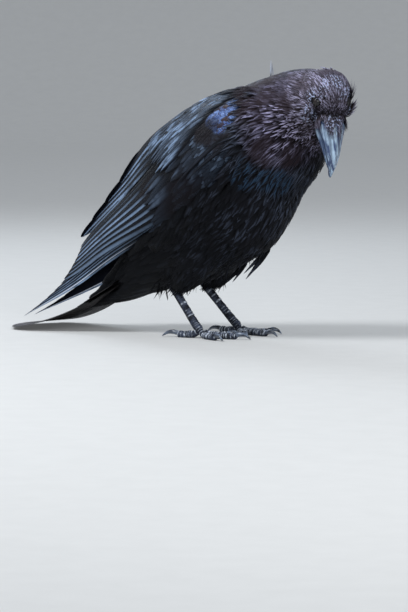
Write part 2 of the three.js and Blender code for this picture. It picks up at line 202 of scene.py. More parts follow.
def loft(stations, first, last, grow=0.0, move=None):
    """Surface of egg-shaped rings: centre + across * width * sin(v) + back * depth * cos(v), where
    depth is the size above the centre line for cos > 0 and below it otherwise. v = 0 is the back.
    Grow is added to every size, and move takes the points to another frame."""
    centres, sizes, backs = ([s[k] for s in stations] for k in range(3))

    def at(u, v):
        """Point at u along the stations and at the angle v about them."""
        u, v = np.broadcast_arrays(np.asarray(u, float), np.asarray(v, float))
        size = along_line(sizes, u)
        way = unit(along_line(centres, u + 1e-3) - along_line(centres, u - 1e-3))
        across = unit(np.cross(along_line(backs, u), way))
        back = np.cross(way, across)
        ring = rounding(u, first, last)
        depth = np.where(np.cos(v) > 0, size[..., 1], size[..., 2]) * ring + grow
        point = (along_line(centres, u) + across * ((size[..., 0] * ring + grow) * np.sin(v))[..., None]
                 + back * (depth * np.cos(v))[..., None])
        return point if move is None else move(point)

    return Surface(at)


def head_axes():
    """Rows: along the bill, to the left, and up through the crown."""
    turn, nod = radians(HEAD_TURN), radians(HEAD_NOD)
    facing, up = np.array([cos(turn), sin(turn), 0]), np.array([0, 0, 1.0])
    bill = facing * cos(nod) - up * sin(nod)
    crown = facing * sin(nod) + up * cos(nod)
    return np.array([bill, np.cross(crown, bill), crown])


HEAD_AXES = head_axes()


def on_head(point):
    """Point given in the head's frame, placed on the bird."""
    return np.asarray(point, float) @ HEAD_AXES + np.array(HEAD_AT, float)


def head_loft(rows, first, last, grow=0.0):
    """Loft through rings given in the head's frame."""
    stations = [((along, 0, up), size, (0, 0, 1)) for (along, up), size in rows]
    return loft(stations, first, last, grow, on_head)


def wing_sheet(side):
    """Parabola across the wing through its upper edge, crest and lower edge at u; v is 0 to 1."""
    def at(u, v):
        """Upper (1 - v)(1 - 2v) + crest 4v(1 - v) + lower v(2v - 1), mirrored for the left wing."""
        u, v = np.broadcast_arrays(np.asarray(u, float), np.asarray(v, float))
        k = v[..., None]
        point = (along_line(WING_UPPER, u) * (1 - k) * (1 - 2 * k)
                 + along_line(WING_CREST, u) * 4 * k * (1 - k) + along_line(WING_LOWER, u) * k * (2 * k - 1))
        return point * np.array([1, -side, 1])
    return Surface(at, turn=-side, limits=((0, 1), (-0.12, 1.06)))


def tail_at(u, v):
    """The tail's line at u, shortened towards the edges, spread across by its half width; v is 0 to 1."""
    u, v = np.broadcast_arrays(np.asarray(u, float), np.asarray(v, float))
    across = 2 * v - 1
    reach = u * (1 - TAIL_GRADUATION * np.abs(across) ** 1.6)
    point = along_line(TAIL_LINE, reach)
    half = along_line([(w,) for w in TAIL_HALF_WIDTH], u)[..., 0]
    return point + np.stack([0 * u, across * half, -TAIL_ROOF * (1 - reach) * across**2], -1)


TRUNK = loft(BODY, *BODY_ENDS)
FACE_LOFT = head_loft(FACE, *FACE_ENDS)
WINGS = {name: wing_sheet(side) for name, side in SIDES.items()}
TAIL = Surface(tail_at, turn=-1, limits=((0, 1), (-0.08, 1.08)))


def eye_centre(side):
    """Middle of an eyeball."""
    return on_head((EYE_ALONG, side * EYE_OUT, EYE_UP))


def packed_shift():
    """From the bird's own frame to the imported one: where the right eye's solid is, less where it
    is worked out to be."""
    low, high = (np.array(c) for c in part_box("eye_right"))
    return (low + high) * 500 - eye_centre(-1)


SHIFT = packed_shift()


def to_row(points):
    """Millimetres in the bird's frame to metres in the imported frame."""
    return (points + SHIFT) / 1000


def place(point):
    """A point of the bird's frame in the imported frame, in metres, as a tuple."""
    return tuple(to_row(np.array(point, float)))


# ---- meshes ----
def build(name, points, quads, tris=(), maps=None, values=None, rim=None):
    """Mesh object of whole arrays. quads and tris index the points; maps are UV pairs and values
    are numbers for each point; edges whose two points are both on the rim are sharp. A mesh whose
    signed volume, the sum of a.(b x c)/6 over its triangles, is negative has its faces reversed."""
    quads, tris = np.asarray(quads, int).reshape(-1, 4), np.asarray(tris, int).reshape(-1, 3)
    fan = np.vstack([quads[:, [0, 1, 2]], quads[:, [0, 2, 3]], tris])
    a, b, c = (points[fan[:, k]] for k in range(3))
    if (a * np.cross(b, c)).sum() < 0:
        quads, tris = quads[:, ::-1], tris[:, ::-1]
    corners = np.concatenate([quads.ravel(), tris.ravel()])
    starts = np.concatenate([np.arange(len(quads)) * 4, 4 * len(quads) + np.arange(len(tris)) * 3])
    mesh = bpy.data.meshes.new(name)
    mesh.vertices.add(len(points))
    mesh.vertices.foreach_set("co", to_row(points).astype(np.float32).ravel())
    mesh.loops.add(len(corners))
    mesh.loops.foreach_set("vertex_index", corners)
    mesh.polygons.add(len(starts))
    mesh.polygons.foreach_set("loop_start", starts)
    mesh.update(calc_edges=True)
    mesh.polygons.foreach_set("use_smooth", np.ones(len(starts), bool))
    for label, pairs in (maps or {}).items():
        layer = mesh.uv_layers.new(name=label)
        layer.uv.foreach_set("vector", np.asarray(pairs, np.float32)[corners].ravel())
    for label, numbers in (values or {}).items():
        layer = mesh.attributes.new(label, "FLOAT", "POINT")
        layer.data.foreach_set("value", np.asarray(numbers, np.float32).ravel())
    if rim is not None:
        ends = np.empty(2 * len(mesh.edges), np.int32)
        mesh.edges.foreach_get("vertices", ends)
        mesh.edges.foreach_set("use_edge_sharp", rim[ends.reshape(-1, 2)].all(1))
    piece = bpy.data.objects.new(name, mesh)
    bpy.context.scene.collection.objects.link(piece)
    return piece


def tube_faces(rows, columns):
    """Quads and end triangles of a closed tube: rows of columns points, then a point for each end."""
    r, c = grid(np.arange(rows - 1), np.arange(columns))
    a, b = (r * columns + c).ravel(), (r * columns + (c + 1) % columns).ravel()
    quads = np.stack([a, b, b + columns, a + columns], -1)
    k, n = np.arange(columns), (np.arange(columns) + 1) % columns
    first, last = rows * columns, rows * columns + 1
    end = (rows - 1) * columns
    tris = np.vstack([np.stack([0 * k + first, n, k], -1), np.stack([0 * k + last, end + k, end + n], -1)])
    return quads, tris


def tube(rings):
    """Points and faces of a closed tube through rings (rows, columns, 3), each end closed at the
    middle of its ring."""
    rows, columns = rings.shape[:2]
    points = np.vstack([rings.reshape(-1, 3), rings[0].mean(0), rings[-1].mean(0)])
    return points, *tube_faces(rows, columns)


def ring_tube(rings):
    """Points and quads of a tube that closes on itself both ways."""
    rows, columns = rings.shape[:2]
    r, c = grid(np.arange(rows), np.arange(columns))
    a, b = (r * columns + c).ravel(), (r * columns + (c + 1) % columns).ravel()
    up = ((r + 1) % rows * columns + c).ravel()
    over = ((r + 1) % rows * columns + (c + 1) % columns).ravel()
    return rings.reshape(-1, 3), np.stack([a, b, over, up], -1), np.zeros((0, 3), int)


def joined(shells):
    """Several (points, quads, tris) as one."""
    points, quads, tris, count = [], [], [], 0
    for p, q, t in shells:
        points.append(p)
        quads.append(q + count)
        tris.append(t + count)
        count += len(p)
    return np.vstack(points), np.vstack(quads), np.vstack(tris)


def sampled(surface, rows, columns, low=0.0, high=1.0):
    """Closed tube of a loft's own points."""
    return tube(surface.at(*grid(np.linspace(low, high, rows), turns(columns))))


def dress(piece, slot, finish, *nodes):
    """Puts a piece on the one body with its finish, in place of the nodes it stands for. The slot is not
    used.
    """
    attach(piece, "root")
    if nodes:
        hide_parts(*nodes)
    piece.data.materials.append(finish)


# ---- vanes of feather ----
class Vane:
    """One closed vane: rows from root to tip, each a ring of top points and fewer under points that
    meet at a sharp rim. p is the place along, q across from -1 to 1, top 1, 0 or -1."""

    def __init__(self, rows, columns, crowd=1.3):
        share = 1 - (1 - (np.arange(rows) + 0.5) / rows) ** crowd
        upper = np.linspace(-1, 1, columns)
        q = np.concatenate([upper, upper[-2:0:-1]])
        top = np.concatenate([[0], np.ones(columns - 2), [0], -np.ones(columns - 2)])
        self.p = np.concatenate([np.repeat(share, len(q)), [0, 1]])
        self.q = np.concatenate([np.tile(q, rows), [0, 0]])
        self.top = np.concatenate([np.tile(top, rows), [0, 0]])
        self.row = np.concatenate([np.repeat(np.arange(rows), len(q)), [0, rows - 1]])
        self.rim = np.concatenate([np.tile(top == 0, rows), [True, True]])
        self.rows = rows
        self.quads, self.tris = tube_faces(rows, len(q))
        self.size = len(self.p)


def outline(p, shoulder, point):
    """Half width as a share of the widest: rises as sqrt(p / shoulder) from a narrow root, then
    falls as (1 - k^2)^(1/2) for a round end (point 0) or 1 - k for a pointed one (point 1)."""
    rise = 0.25 + 0.75 * np.sqrt(np.clip(p / shoulder, 0, 1))
    k = np.clip((p - shoulder) / (1 - shoulder), 0, 1)
    return rise * ((1 - point) * np.sqrt(1 - k**2) + point * (1 - k) ** 0.9)


def shape_vanes(vane, count, length, width, low, high, shoulder=0.55, point=0.0, thick=0.35,
                camber=0.12, ragged=0.08, sweep=0.0, curl=0.0):
    """Along, across and height of every point of `count` vanes, in millimetres. Height goes from low
    at the root to high at the tip, with the vane's middle raised by camber * half width * (1 - q^2).
    Ragged pulls random rim points in, sweep bends the vane sideways as p^2, curl lifts it as p^3."""
    grow = [np.broadcast_to(np.asarray(x, float), (count,))[:, None]
            for x in (length, width, low, high, sweep, curl, point)]
    length, width, low, high, sweep, curl, point = grow
    p, q = vane.p[None], vane.q[None]
    half = width / 2 * outline(p, shoulder, point)
    pull = 1 - ragged * random.random((count, vane.rows))[:, vane.row] * (p > 0.3)
    skew = random.normal(0, ragged * 0.5, (count, 1)) * (p > 0.6)
    across = half * q * pull + sweep * p**2
    along = length * (p + skew * q * 0.25 * (1 - p))
    height = (low + (high - low) * p**0.8 + curl * p**3 + camber * half * (1 - q**2)
              + vane.top[None] * thick / 2 * np.clip(half / (width / 2), 0.15, 1))
    return along, across, height


def loose(vane, roots, heading, out, length, width, low, high, **shape):
    """Points of straight vanes in space: root + heading * along + side * across + out * height, with
    out made square to the heading first."""
    heading = unit(heading)
    out = unit(out - heading * (out * heading).sum(-1, keepdims=True))
    along, across, height = shape_vanes(vane, len(roots), length, width, low, high, **shape)
    return (roots[:, None] + heading[:, None] * along[..., None]
            + np.cross(out, heading)[:, None] * across[..., None] + out[:, None] * height[..., None])


def feathers(name, vane, points, bake, tone, slot, finish, *nodes):
    """Vanes as one piece: points and bake places (N, K, 3) and (N, K, 2), and a tone for each. The
    map "vane" has the place across and along each one."""
    count = len(points)
    first = (np.arange(count) * vane.size)[:, None, None]
    vane_map = np.tile(np.stack([(vane.q + 1) / 2, vane.p], -1), (count, 1))
    piece = build(name, points.reshape(-1, 3), (vane.quads[None] + first).reshape(-1, 4),
                  (vane.tris[None] + first).reshape(-1, 3),
                  {"OFBake": bake.reshape(-1, 2), "vane": vane_map},
                  {"tone": np.repeat(tone, vane.size)}, np.tile(vane.rim, count))
    dress(piece, slot, finish, *nodes)


def part(points, u, v):
    """Feathers of a coat: their points, their roots' places on the skin's own unwrap, which has one
    unit for the whole of u and of v, and a random tone for each."""
    return points, np.stack([u, v], -1), random.random(len(points))


def coat(name, vane, parts, finish, slot="plumage"):
    """Several parts as one piece. Each feather's patch on OFBake lies at its root's place."""
    points, roots, tone = (np.concatenate(rows) for rows in zip(*parts))
    roots = np.clip(roots, 0.004, 0.996)
    patch = np.stack([vane.q / 2, vane.p - 0.5], -1) * TUFT_PATCH
    feathers(name, vane, points, roots[:, None] + patch[None], tone, slot, finish)


def roots_on(surface, start, stop, around, row_gap, gap, jitter=0.3):
    """Staggered roots in rows a row_gap apart by true length, `gap` apart in each row, each moved by
    a random share of the spacing. Returns u and v."""
    fine = np.linspace(start, stop, 160)
    middle = surface.at(fine, np.full(160, sum(around) / 2))
    run = np.concatenate([[0], np.cumsum(np.linalg.norm(np.diff(middle, axis=0), axis=1))])
    rows = np.interp(np.arange(0, run[-1], row_gap), run, fine)
    us, vs = [], []
    for k, u in enumerate(rows):
        v = np.linspace(*around, 90)
        ring = surface.at(np.full(90, u), v)
        length = np.concatenate([[0], np.cumsum(np.linalg.norm(np.diff(ring, axis=0), axis=1))])
        count = max(int(length[-1] / gap), 1)
        steps = np.arange(count) + 0.25 + 0.5 * (k % 2) + jitter * random.uniform(-0.5, 0.5, count)
        vs.append(np.interp(steps * length[-1] / count, length, v))
        us.append(u + jitter * random.uniform(-0.5, 0.5, count) * row_gap * (stop - start) / run[-1])
    return np.concatenate(us), np.concatenate(vs)


def turned(heading, out, angle):
    """Heading turned by an angle about the way out: h cos + (out x h) sin."""
    angle = np.asarray(angle, float)[..., None]
    return heading * np.cos(angle) + np.cross(out, heading) * np.sin(angle)


def laid_feathers(surface, vane, u, v, way, wander, sizes, length, width, low, high, lift,
                  slimming=1.0, **shape):
    """Points of feathers with roots at (u, v), pointing along u (way 1) or against it (way -1). Each
    is turned by a random angle, has its length times a random size and its width times that to the
    power of slimming, and its tip is raised by a random height."""
    count = len(u)
    by_u, by_v = surface.slopes(u, v)
    out = unit(np.cross(by_u, by_v)) * surface.turn
    heading = turned(unit(by_u) * way, out, random.normal(0, wander, count))
    size = random.uniform(*sizes, count)
    laid = shape_vanes(vane, count, length * size, width * size**slimming, low,
                       high + random.normal(0, lift, count), **shape)
    return surface.lay(u, v, heading, *laid)


# ---- head and neck as seen from inside ----
def blended(table, rows, columns, a, b):
    """Table's value at shares a and b of the way between two rows and two columns:
    t00 (1 - a)(1 - b) + t10 a(1 - b) + t01 (1 - a)b + t11 ab."""
    (i, n), (j, k) = rows, columns
    return (table[i, j] * (1 - a) * (1 - b) + table[n, j] * a * (1 - b) + table[i, k] * (1 - a) * b
            + table[n, k] * a * b)


class Bulb:
    """Outer radius of the head and neck together, by direction from a point inside them. Clouds of
    points on both shapes are sorted into cells of polar angle (from the left ear) and turn (from the
    bill towards the crown), the farthest in each cell is kept, creases are filled by widening the
    far cells and then the near ones, and the cells are smoothed."""

    CELLS = (60, 120)

    def __init__(self, centre, shapes):
        self.centre = np.array(centre, float)
        cloud = np.vstack([shape.at(*grid(np.linspace(start, 0.997, 420), np.linspace(0, tau, 420)))
                           .reshape(-1, 3) for shape, start in shapes]) - self.centre
        radius = np.linalg.norm(cloud, axis=1)
        rows, columns = self.CELLS
        polar, turn = self.angles(cloud / radius[:, None])
        cell = np.minimum((polar * rows).astype(int), rows - 1), (turn * columns).astype(int) % columns
        table = np.zeros(self.CELLS)
        np.maximum.at(table, cell, radius)
        for _ in range(8):
            table = np.where(table > 0, table, np.max(self.around(table), axis=0))
        for pick in [np.max] * 4 + [np.min] * 4:
            table = pick(self.around(table), axis=0)
        for _ in range(3):
            near = self.padded(table)
            table = sum(near[i:i + rows, j:j + columns] * share for i, j, share in (
                (1, 1, 0.4), (0, 1, 0.15), (2, 1, 0.15), (1, 0, 0.15), (1, 2, 0.15)))
        self.table = self.padded(table)

    @staticmethod
    def padded(table):
        """Table with a row past each pole, turned half way round, and a column past each side."""
        half = table.shape[1] // 2
        tall = np.vstack([np.roll(table[:1], half, 1), table, np.roll(table[-1:], half, 1)])
        return np.hstack([tall[:, -1:], tall, tall[:, :1]])

    def around(self, table):
        """The table moved by each of the nine steps to a cell and its neighbours."""
        near = self.padded(table)
        rows, columns = self.CELLS
        return [near[i:i + rows, j:j + columns] for i in range(3) for j in range(3)]

    @staticmethod
    def angles(way):
        """Polar angle and turn of unit directions, both from 0 to 1."""
        bill, left, crown = (way @ axis for axis in HEAD_AXES)
        return np.arccos(np.clip(left, -1, 1)) / pi, np.arctan2(crown, bill) / tau % 1

    def radius(self, way):
        """Table read between its cells, less the face's hollows and plus its swellings."""
        polar, turn = self.angles(way)
        x, y = polar * self.CELLS[0] + 0.5, turn * self.CELLS[1] + 0.5
        i, j = x.astype(int), y.astype(int)
        a, b = x - i, y - j
        out = blended(self.table, (i, i + 1), (j, j + 1), a, b)
        for dent, depth, spread in FACE_DENTS:
            off = np.arccos(np.clip(way @ dent, -1, 1))
            out = out - depth * np.exp(-(off / spread) ** 2)
        return out

    def at(self, way):
        """Centre plus the direction times its radius."""
        return self.centre + way * self.radius(way)[..., None]

    def normal(self, way):
        """Cross product of two short steps on the surface, turned outward."""
        one = unit(np.cross(way, HEAD_AXES[1] + 0.01))
        two = np.cross(way, one)
        here = self.at(way)
        step = 0.02
        out = unit(np.cross(self.at(unit(way + step * one)) - here, self.at(unit(way + step * two)) - here))
        return out * np.sign((out * way).sum(-1, keepdims=True))

    def lay(self, way, heading, along, across, height):
        """Points round each root direction: the root's own tangent steps, over its radius, are added
        to the direction, and the sum is cast out to the surface and raised along its normal."""
        heading = unit(heading - way * (heading * way).sum(-1, keepdims=True))
        side = np.cross(way, heading)
        reach = self.radius(way)[..., None, None]
        to = unit(way[:, None] + (heading[:, None] * along[..., None] + side[:, None] * across[..., None])
                  / reach)
        return self.at(to) + self.normal(to) * height[..., None]


def away_to_neck(way):
    """The lie of the head's feathers: out of the bill's base and into the neck, the difference of
    (d - bill) / |d - bill|^2 and (d - neck) / |d - neck|^2, flattened on the sphere."""
    from_bill, from_neck = way - BILL_WAY, way - NECK_WAY
    flow = (from_bill / ((from_bill**2).sum(-1, keepdims=True) + 0.02)
            - from_neck / ((from_neck**2).sum(-1, keepdims=True) + 0.02))
    return unit(flow - way * (flow * way).sum(-1, keepdims=True))


BULB_AT = on_head((-3, 0, -10))
BILL_WAY = unit(on_head((34, 0, -6)) - BULB_AT)
NECK_WAY = unit(np.array([-1, 0.42, -0.34]))
CROWN_WAY = unit(np.array([-0.25, 0.1, 1]))
EYE_WAYS = {name: unit(eye_centre(side) - BULB_AT) for name, side in SIDES.items()}


def face_dents():
    """(direction, depth, spread in radians) of the lores, hollow before each eye, and with negative
    depths of what swells: the rims of the eyes, the brows above and the cheeks behind."""
    rows = []
    for side in SIDES.values():
        for at, depth, spread in (((EYE_ALONG, EYE_OUT, EYE_UP), -0.4, 0.27),
                                  ((13, 17, 3), 1.5, 0.25),
                                  ((2, 14, 13), -1.5, 0.22),
                                  ((-8, 24, -12), -0.8, 0.35)):
            rows.append((unit(on_head((at[0], side * at[1], at[2])) - BULB_AT), depth, spread))
    return rows


FACE_DENTS = face_dents()
HEAD_ALONE = Bulb(BULB_AT, [(FACE_LOFT, 0.003)])
BULB = Bulb(BULB_AT, [(FACE_LOFT, 0.003), (TRUNK, 0.72)])


def in_head(points, margin):
    """Which points are deeper than the margin inside the head."""
    off = points - BULB_AT
    return np.linalg.norm(off, axis=-1) < HEAD_ALONE.radius(unit(off)) - margin


# ---- body with its wings and thighs tucked in ----
def thigh_loft(side):
    """The thigh's own loft, hip to ankle."""
    foot = FEET["right" if side < 0 else "left"]
    ankle = (foot[0] - ANKLE_BACK, foot[1] - side * ANKLE_INWARD, ANKLE_HEIGHT)
    back = (-0.7, 0, 0.7)
    return loft([((8, side * 33, 126), (20, 26, 24), back), ((-16, side * 33, 99), (24, 27, 27), back),
                 (((ankle[0] - 16) / 2 + 2, side * 31, 76), (18, 18, 20), back),
                 ((ankle[0] + 4, ankle[1], ankle[2] - 5), (8.5, 8.5, 9), back)], 0.3, 0.16)


THIGHS = {name: thigh_loft(side) for name, side in SIDES.items()}


def nearest(points, cloud):
    """Index of the nearest cloud point to each point, by |a|^2 - 2 a.b + |b|^2 in slices."""
    size = (cloud**2).sum(1)
    slices = np.array_split(points, max(len(points) // 500, 1))
    return np.concatenate([np.argmin(size - 2 * some @ cloud.T, axis=1) for some in slices])


WING_UNDERLAP = 0.88                # place across a wing past which the flank's feathers overlap it


def wing_front(t):
    """Place u on a wing that the feathers of neck and breast cover up to, at place t across it."""
    return np.maximum(0.22 * t - 0.05, 0.015)


class Cloak:
    """The body's surface raised over the folded wings and the thighs: a table, by u and v, of how
    far they stand out of the body along its normal, smoothed so that it ramps up in front of them."""

    CELLS = (80, 120)
    EMPTY = -20.0

    def __init__(self):
        u = (np.arange(self.CELLS[0]) + 0.5) / self.CELLS[0]
        u, v = (g.ravel() for g in grid(u, turns(self.CELLS[1])))
        body, out = TRUNK.at(u, v), TRUNK.normal(u, v)
        stand, bare = np.full(len(u), self.EMPTY), np.zeros(len(u), bool)

        def raise_over(cloud):
            """Raises the cells nearest to each point of a cloud to it, and gives those cells."""
            near = nearest(cloud, body)
            np.maximum.at(stand, near, ((cloud - body[near]) * out[near]).sum(1))
            return near

        for wing in WINGS.values():
            s, t = (g.ravel() for g in grid(np.linspace(0, 0.5, 90), np.linspace(0, 1, 60)))
            near = raise_over(wing.raised(s, t, 2.4))
            bare[near[(s > wing_front(t)) & (t < WING_UNDERLAP)]] = True
        for thigh in THIGHS.values():
            s, t = (g.ravel() for g in grid(np.linspace(0.05, 0.5, 60), np.linspace(0, tau, 90)))
            raise_over(thigh.raised(s, t, 0.5))
        table, bare = self.widened(stand.reshape(self.CELLS)), bare.reshape(self.CELLS)
        bare = np.any(self.around(bare), axis=0)
        self.covered = bare & (table > 1.5)
        table = np.clip(table, 0, 30)
        for _ in range(3):
            table = sum(np.roll(table, k, 0) + np.roll(table, k, 1) for k in (-1, 0, 1)) / 6
        self.table = table

    @staticmethod
    def around(table):
        """The table rolled by each of the nine steps to a cell and its neighbours."""
        level = [np.roll(table, k, 1) for k in (-1, 0, 1)]
        return [np.roll(a, k, 0) for a in level for k in (-1, 0, 1)]

    def widened(self, table):
        """Empty cells filled, twice, with the greatest of the eight round them."""
        for _ in range(2):
            table = np.where(table > self.EMPTY, table, np.max(self.around(table), axis=0))
        return table

    def read(self, table, u, v):
        """Table value between its cells."""
        rows, columns = self.CELLS
        x, y = np.clip(u * rows - 0.5, 0, rows - 1.001), v / tau % 1 * columns
        i, j = x.astype(int), y.astype(int) % columns
        a, b, k = x - i, y - y.astype(int), (j + 1) % columns
        return blended(table, (i, i + 1), (j, k), a, b)

    def at(self, u, v):
        """The trunk raised along its normal by the table's value."""
        u, v = np.broadcast_arrays(np.asarray(u, float), np.asarray(v, float))
        return TRUNK.raised(u, v, self.read(self.table, u, v))

    def under_wing(self, u, v):
        """Which places the wings cover."""
        return self.read(self.covered.astype(float), u, v) > 0.6


CLOAK = Cloak()
BODY_SURFACE = Surface(CLOAK.at)


# ---- shader maths ----
class Number:
    """A number socket of a material, so that sums on it read as Python."""

    def __init__(self, paint, socket):
        self.paint, self.socket = paint, socket

    def math(self, operation, *values, clamp=False):
        """A Math node of the values."""
        settings = {"operation": operation, "use_clamp": clamp}
        return self.paint.number("ShaderNodeMath", settings, dict(enumerate(values)))

    def __add__(self, other):
        return self.math("ADD", self, other)

    def __sub__(self, other):
        return self.math("SUBTRACT", self, other)

    def __mul__(self, other):
        return self.math("MULTIPLY", self, other)

    def __truediv__(self, other):
        return self.math("DIVIDE", self, other)

    def __pow__(self, other):
        return self.math("POWER", self, other)

    def __rsub__(self, other):
        return self.math("SUBTRACT", other, self)

    __radd__, __rmul__ = __add__, __mul__

    def size(self):
        """The number without its sign."""
        return self.math("ABSOLUTE", self)

    def wave(self):
        """Sine of the number."""
        return self.math("SINE", self)

    def clipped(self):
        """The number held between 0 and 1."""
        return self.math("ADD", self, 0.0, clamp=True)

    def ease(self, low, high):
        """0 under low, 1 over high, smooth between."""
        return self.paint.number("ShaderNodeMapRange", {"interpolation_type": "SMOOTHSTEP"},
                                 {"Value": self, "From Min": low, "From Max": high})


class Paint:
    """A material being built."""

    def __init__(self, name):
        self.material = bpy.data.materials.new(name)
        self.material.use_nodes = True
        self.tree = self.material.node_tree
        self.shader = self.tree.nodes["Principled BSDF"]

    def node(self, kind, settings=None, sockets=None):
        """A node of a type, with its settings and its sockets' values."""
        made = self.tree.nodes.new(kind)
        for key, value in (settings or {}).items():
            setattr(made, key, value)
        for key, value in (sockets or {}).items():
            self.put(made.inputs[key], value)
        return made

    def put(self, socket, value):
        """Links a socket to another, or sets its own value."""
        value = value.socket if isinstance(value, Number) else value
        if isinstance(value, bpy.types.NodeSocket):
            self.tree.links.new(value, socket)
        else:
            socket.default_value = (*value, 1) if socket.type == "RGBA" and len(value) == 3 else value

    def number(self, kind, settings=None, sockets=None, output=0):
        """One output of a new node, as a Number."""
        return Number(self, self.node(kind, settings, sockets).outputs[output])

    def spot(self):
        """Object coordinates, in metres."""
        return self.node("ShaderNodeTexCoord").outputs["Object"]

    def attribute(self, name):
        """A number that the mesh holds for each point."""
        return self.number("ShaderNodeAttribute", {"attribute_name": name}, output="Fac")

    def parts(self, vector):
        """The three numbers of a vector."""
        split = self.node("ShaderNodeSeparateXYZ", None, {0: vector})
        return [Number(self, out) for out in split.outputs]

    def map_parts(self, name):
        """The two numbers of a UV map."""
        return self.parts(self.node("ShaderNodeUVMap", {"uv_map": name}).outputs[0])[:2]

    def moved(self, vector, scale=(1, 1, 1), turn=(0, 0, 0)):
        """A vector turned and scaled."""
        sockets = {"Vector": vector, "Scale": scale, "Rotation": turn}
        return self.node("ShaderNodeMapping", None, sockets).outputs[0]

    def noise(self, vector, scale, detail=3.0, rough=0.55):
        """Clouds, about 0.5 on the whole."""
        return self.number("ShaderNodeTexNoise", None,
                           {"Vector": vector, "Scale": scale, "Detail": detail, "Roughness": rough})

    def cells(self, vector, scale, feature="F1"):
        """Distance from the nearest of many scattered points, or from the border between two."""
        return self.number("ShaderNodeTexVoronoi", {"feature": feature}, {"Vector": vector, "Scale": scale})

    def far_from(self, vector, point):
        """Distance from a point, by vector maths."""
        settings = {"operation": "DISTANCE"}
        return self.number("ShaderNodeVectorMath", settings, {0: vector, 1: point}, "Value")

    def mix(self, share, one, two):
        """Colour that goes from one to two by a share."""
        return self.node("ShaderNodeMix", {"data_type": "RGBA"}, {0: share, 6: one, 7: two}).outputs[2]

    def bump(self, height, strength, distance):
        """Normal bent by a height."""
        sockets = {"Height": height, "Strength": strength, "Distance": distance}
        return self.node("ShaderNodeBump", None, sockets).outputs[0]

    def finish(self, **sockets):
        """Sets the shader's sockets, named with _ for a space, and gives the material."""
        for key, value in sockets.items():
            self.put(self.shader.inputs[key.replace("_", " ")], value)
        return self.material


# Colours, linear: of belly, breast, neck, head, wings and tail. The first row is the feathers' own
# dark ground and the second a painted highlight, gloss painted into the colour where a feather would catch
# the light.
GROUND = [(0.0032, 0.0032, 0.0038), (0.0045, 0.0042, 0.0055), (0.026, 0.018, 0.025),
          (0.040, 0.027, 0.029), (0.004, 0.005, 0.009), (0.012, 0.010, 0.0095)]
PAINTED_GLOSS = [(0.012, 0.013, 0.016), (0.080, 0.098, 0.145), (0.60, 0.57, 0.88), (0.60, 0.58, 0.82),
         (0.32, 0.45, 0.66), (0.19, 0.18, 0.19)]
# Pale colour of bleached feathers, also the painted highlight along a bared shaft.
PALE_AND_SHAFT_HIGHLIGHT = (0.80, 0.87, 1.0)
# Colours of marked places: painted shade, brown, pale flecks, painted blue sheen, painted gloss streaks and
# painted steel-blue sheen.
PLACE_COLOURS = {"painted_shade": (0.006, 0.004, 0.005), "brown": (0.030, 0.020, 0.025),
                 "flecked": (0.60, 0.68, 0.96), "painted_sheen": (0.032, 0.070, 0.13),
                 "painted_streaks": (0.56, 0.52, 0.76), "painted_steel_sheen": (0.20, 0.29, 0.43)}
# The patch at the wing's bend: painted blue sheen, painted pale glints, brown rims and a brown ring.
PAINTED_PATCH_BLUE, PAINTED_PATCH_GLINT, PATCH_RIM = (0.029, 0.064, 0.22), (0.27, 0.40, 0.74), (0.044, 0.028, 0.032)
PATCH_BROWN = (0.012, 0.008, 0.009)
THROAT_AT = (118, -34, 272)


def markings(paint, colours, wing=0.0, tail=0.0):
    """One of the two rows of colour at a spot, for skin and coat alike: by height and distance from
    the neck and head, with clouded borders. wing and tail say how much a piece is of these."""
    belly, breast, neck, head, winged, tailed = colours
    spot = paint.spot()
    x = paint.parts(spot)[0]
    off_head = paint.far_from(spot, place(HEAD_AT))
    off_neck = paint.far_from(spot, place(THROAT_AT))
    cloud = paint.noise(spot, 26, 2)
    body = paint.mix((x * 6 + cloud * 0.8).ease(0.2, 1.3), belly, breast)
    throat = paint.mix(1 - (off_neck + cloud * 0.05).ease(0.06, 0.10), body, neck)
    whole = paint.mix(1 - (off_head + cloud * 0.03).ease(0.055, 0.09), throat, head)
    return paint.mix(tail, paint.mix(wing, whole, winged), tailed)


def painted_blue_sheen(paint, base, centre, across, along, tone, fray, cloud):
    """Base colour with a patch of painted blue sheen round the centre, mottled with painted pale
    glints, whose rims and some whole feathers are brown, and with a dull brown ring round the patch."""
    off = paint.far_from(paint.spot(), centre) + (cloud - 0.5) * 0.045
    near = 1 - off.ease(0.020, 0.027)
    rim = (across.ease(0.8, 1.0) * 0.7 + along.ease(0.9, 0.99)).clipped()
    painted_sheen = paint.mix(fray.ease(0.36, 0.62) * (tone * 0.8 + 0.2), PAINTED_PATCH_BLUE, PAINTED_PATCH_GLINT)
    blue = paint.mix((rim + (1 - tone.ease(0.08, 0.16))).clipped(), painted_sheen, PATCH_RIM)
    patched = paint.mix(near * along.ease(0.2, 0.5), base, blue)
    brown = off.ease(0.022, 0.030) * (1 - off.ease(0.040, 0.052))
    return paint.mix(brown * 0.8, patched, PATCH_BROWN)


def marked_places(paint, base, places, middle, open_side, along, tone, fray, cloud):
    """Base colour with each place's colour near its centre, in the pattern of its kind. The kinds are
    painted shade, brown, pale flecks, painted blue sheen, painted gloss streaks and painted steel-blue
    sheen.
    """
    fleck = paint.noise(paint.spot(), 420, 1).ease(0.5, 0.6) * tone.ease(0.2, 0.6)
    # Patterns of painted shade, brown, pale flecks, painted sheen and gloss streaks, and painted steel-blue
    # sheen.
    pattern = {"painted_shade": fray * 0.8 + 0.5, "brown": fray * 0.8 + 0.4, "flecked": fleck,
               "painted_sheen": middle * along.ease(0.3, 0.7) * tone.ease(0.2, 0.7),
               "painted_streaks": middle * along.ease(0.35, 0.8) * tone.ease(0.35, 0.75) * (fray * 0.6 + 0.6),
               "painted_steel_sheen": open_side * (tone * 0.5 + 0.5)}
    for kind, centre, reach in places:
        off = paint.far_from(paint.spot(), centre) + (cloud - 0.5) * 0.03
        share = (1 - off.ease(reach * 0.3, reach)) * pattern[kind]
        base = paint.mix(share.clipped(), base, PLACE_COLOURS[kind])
    return base


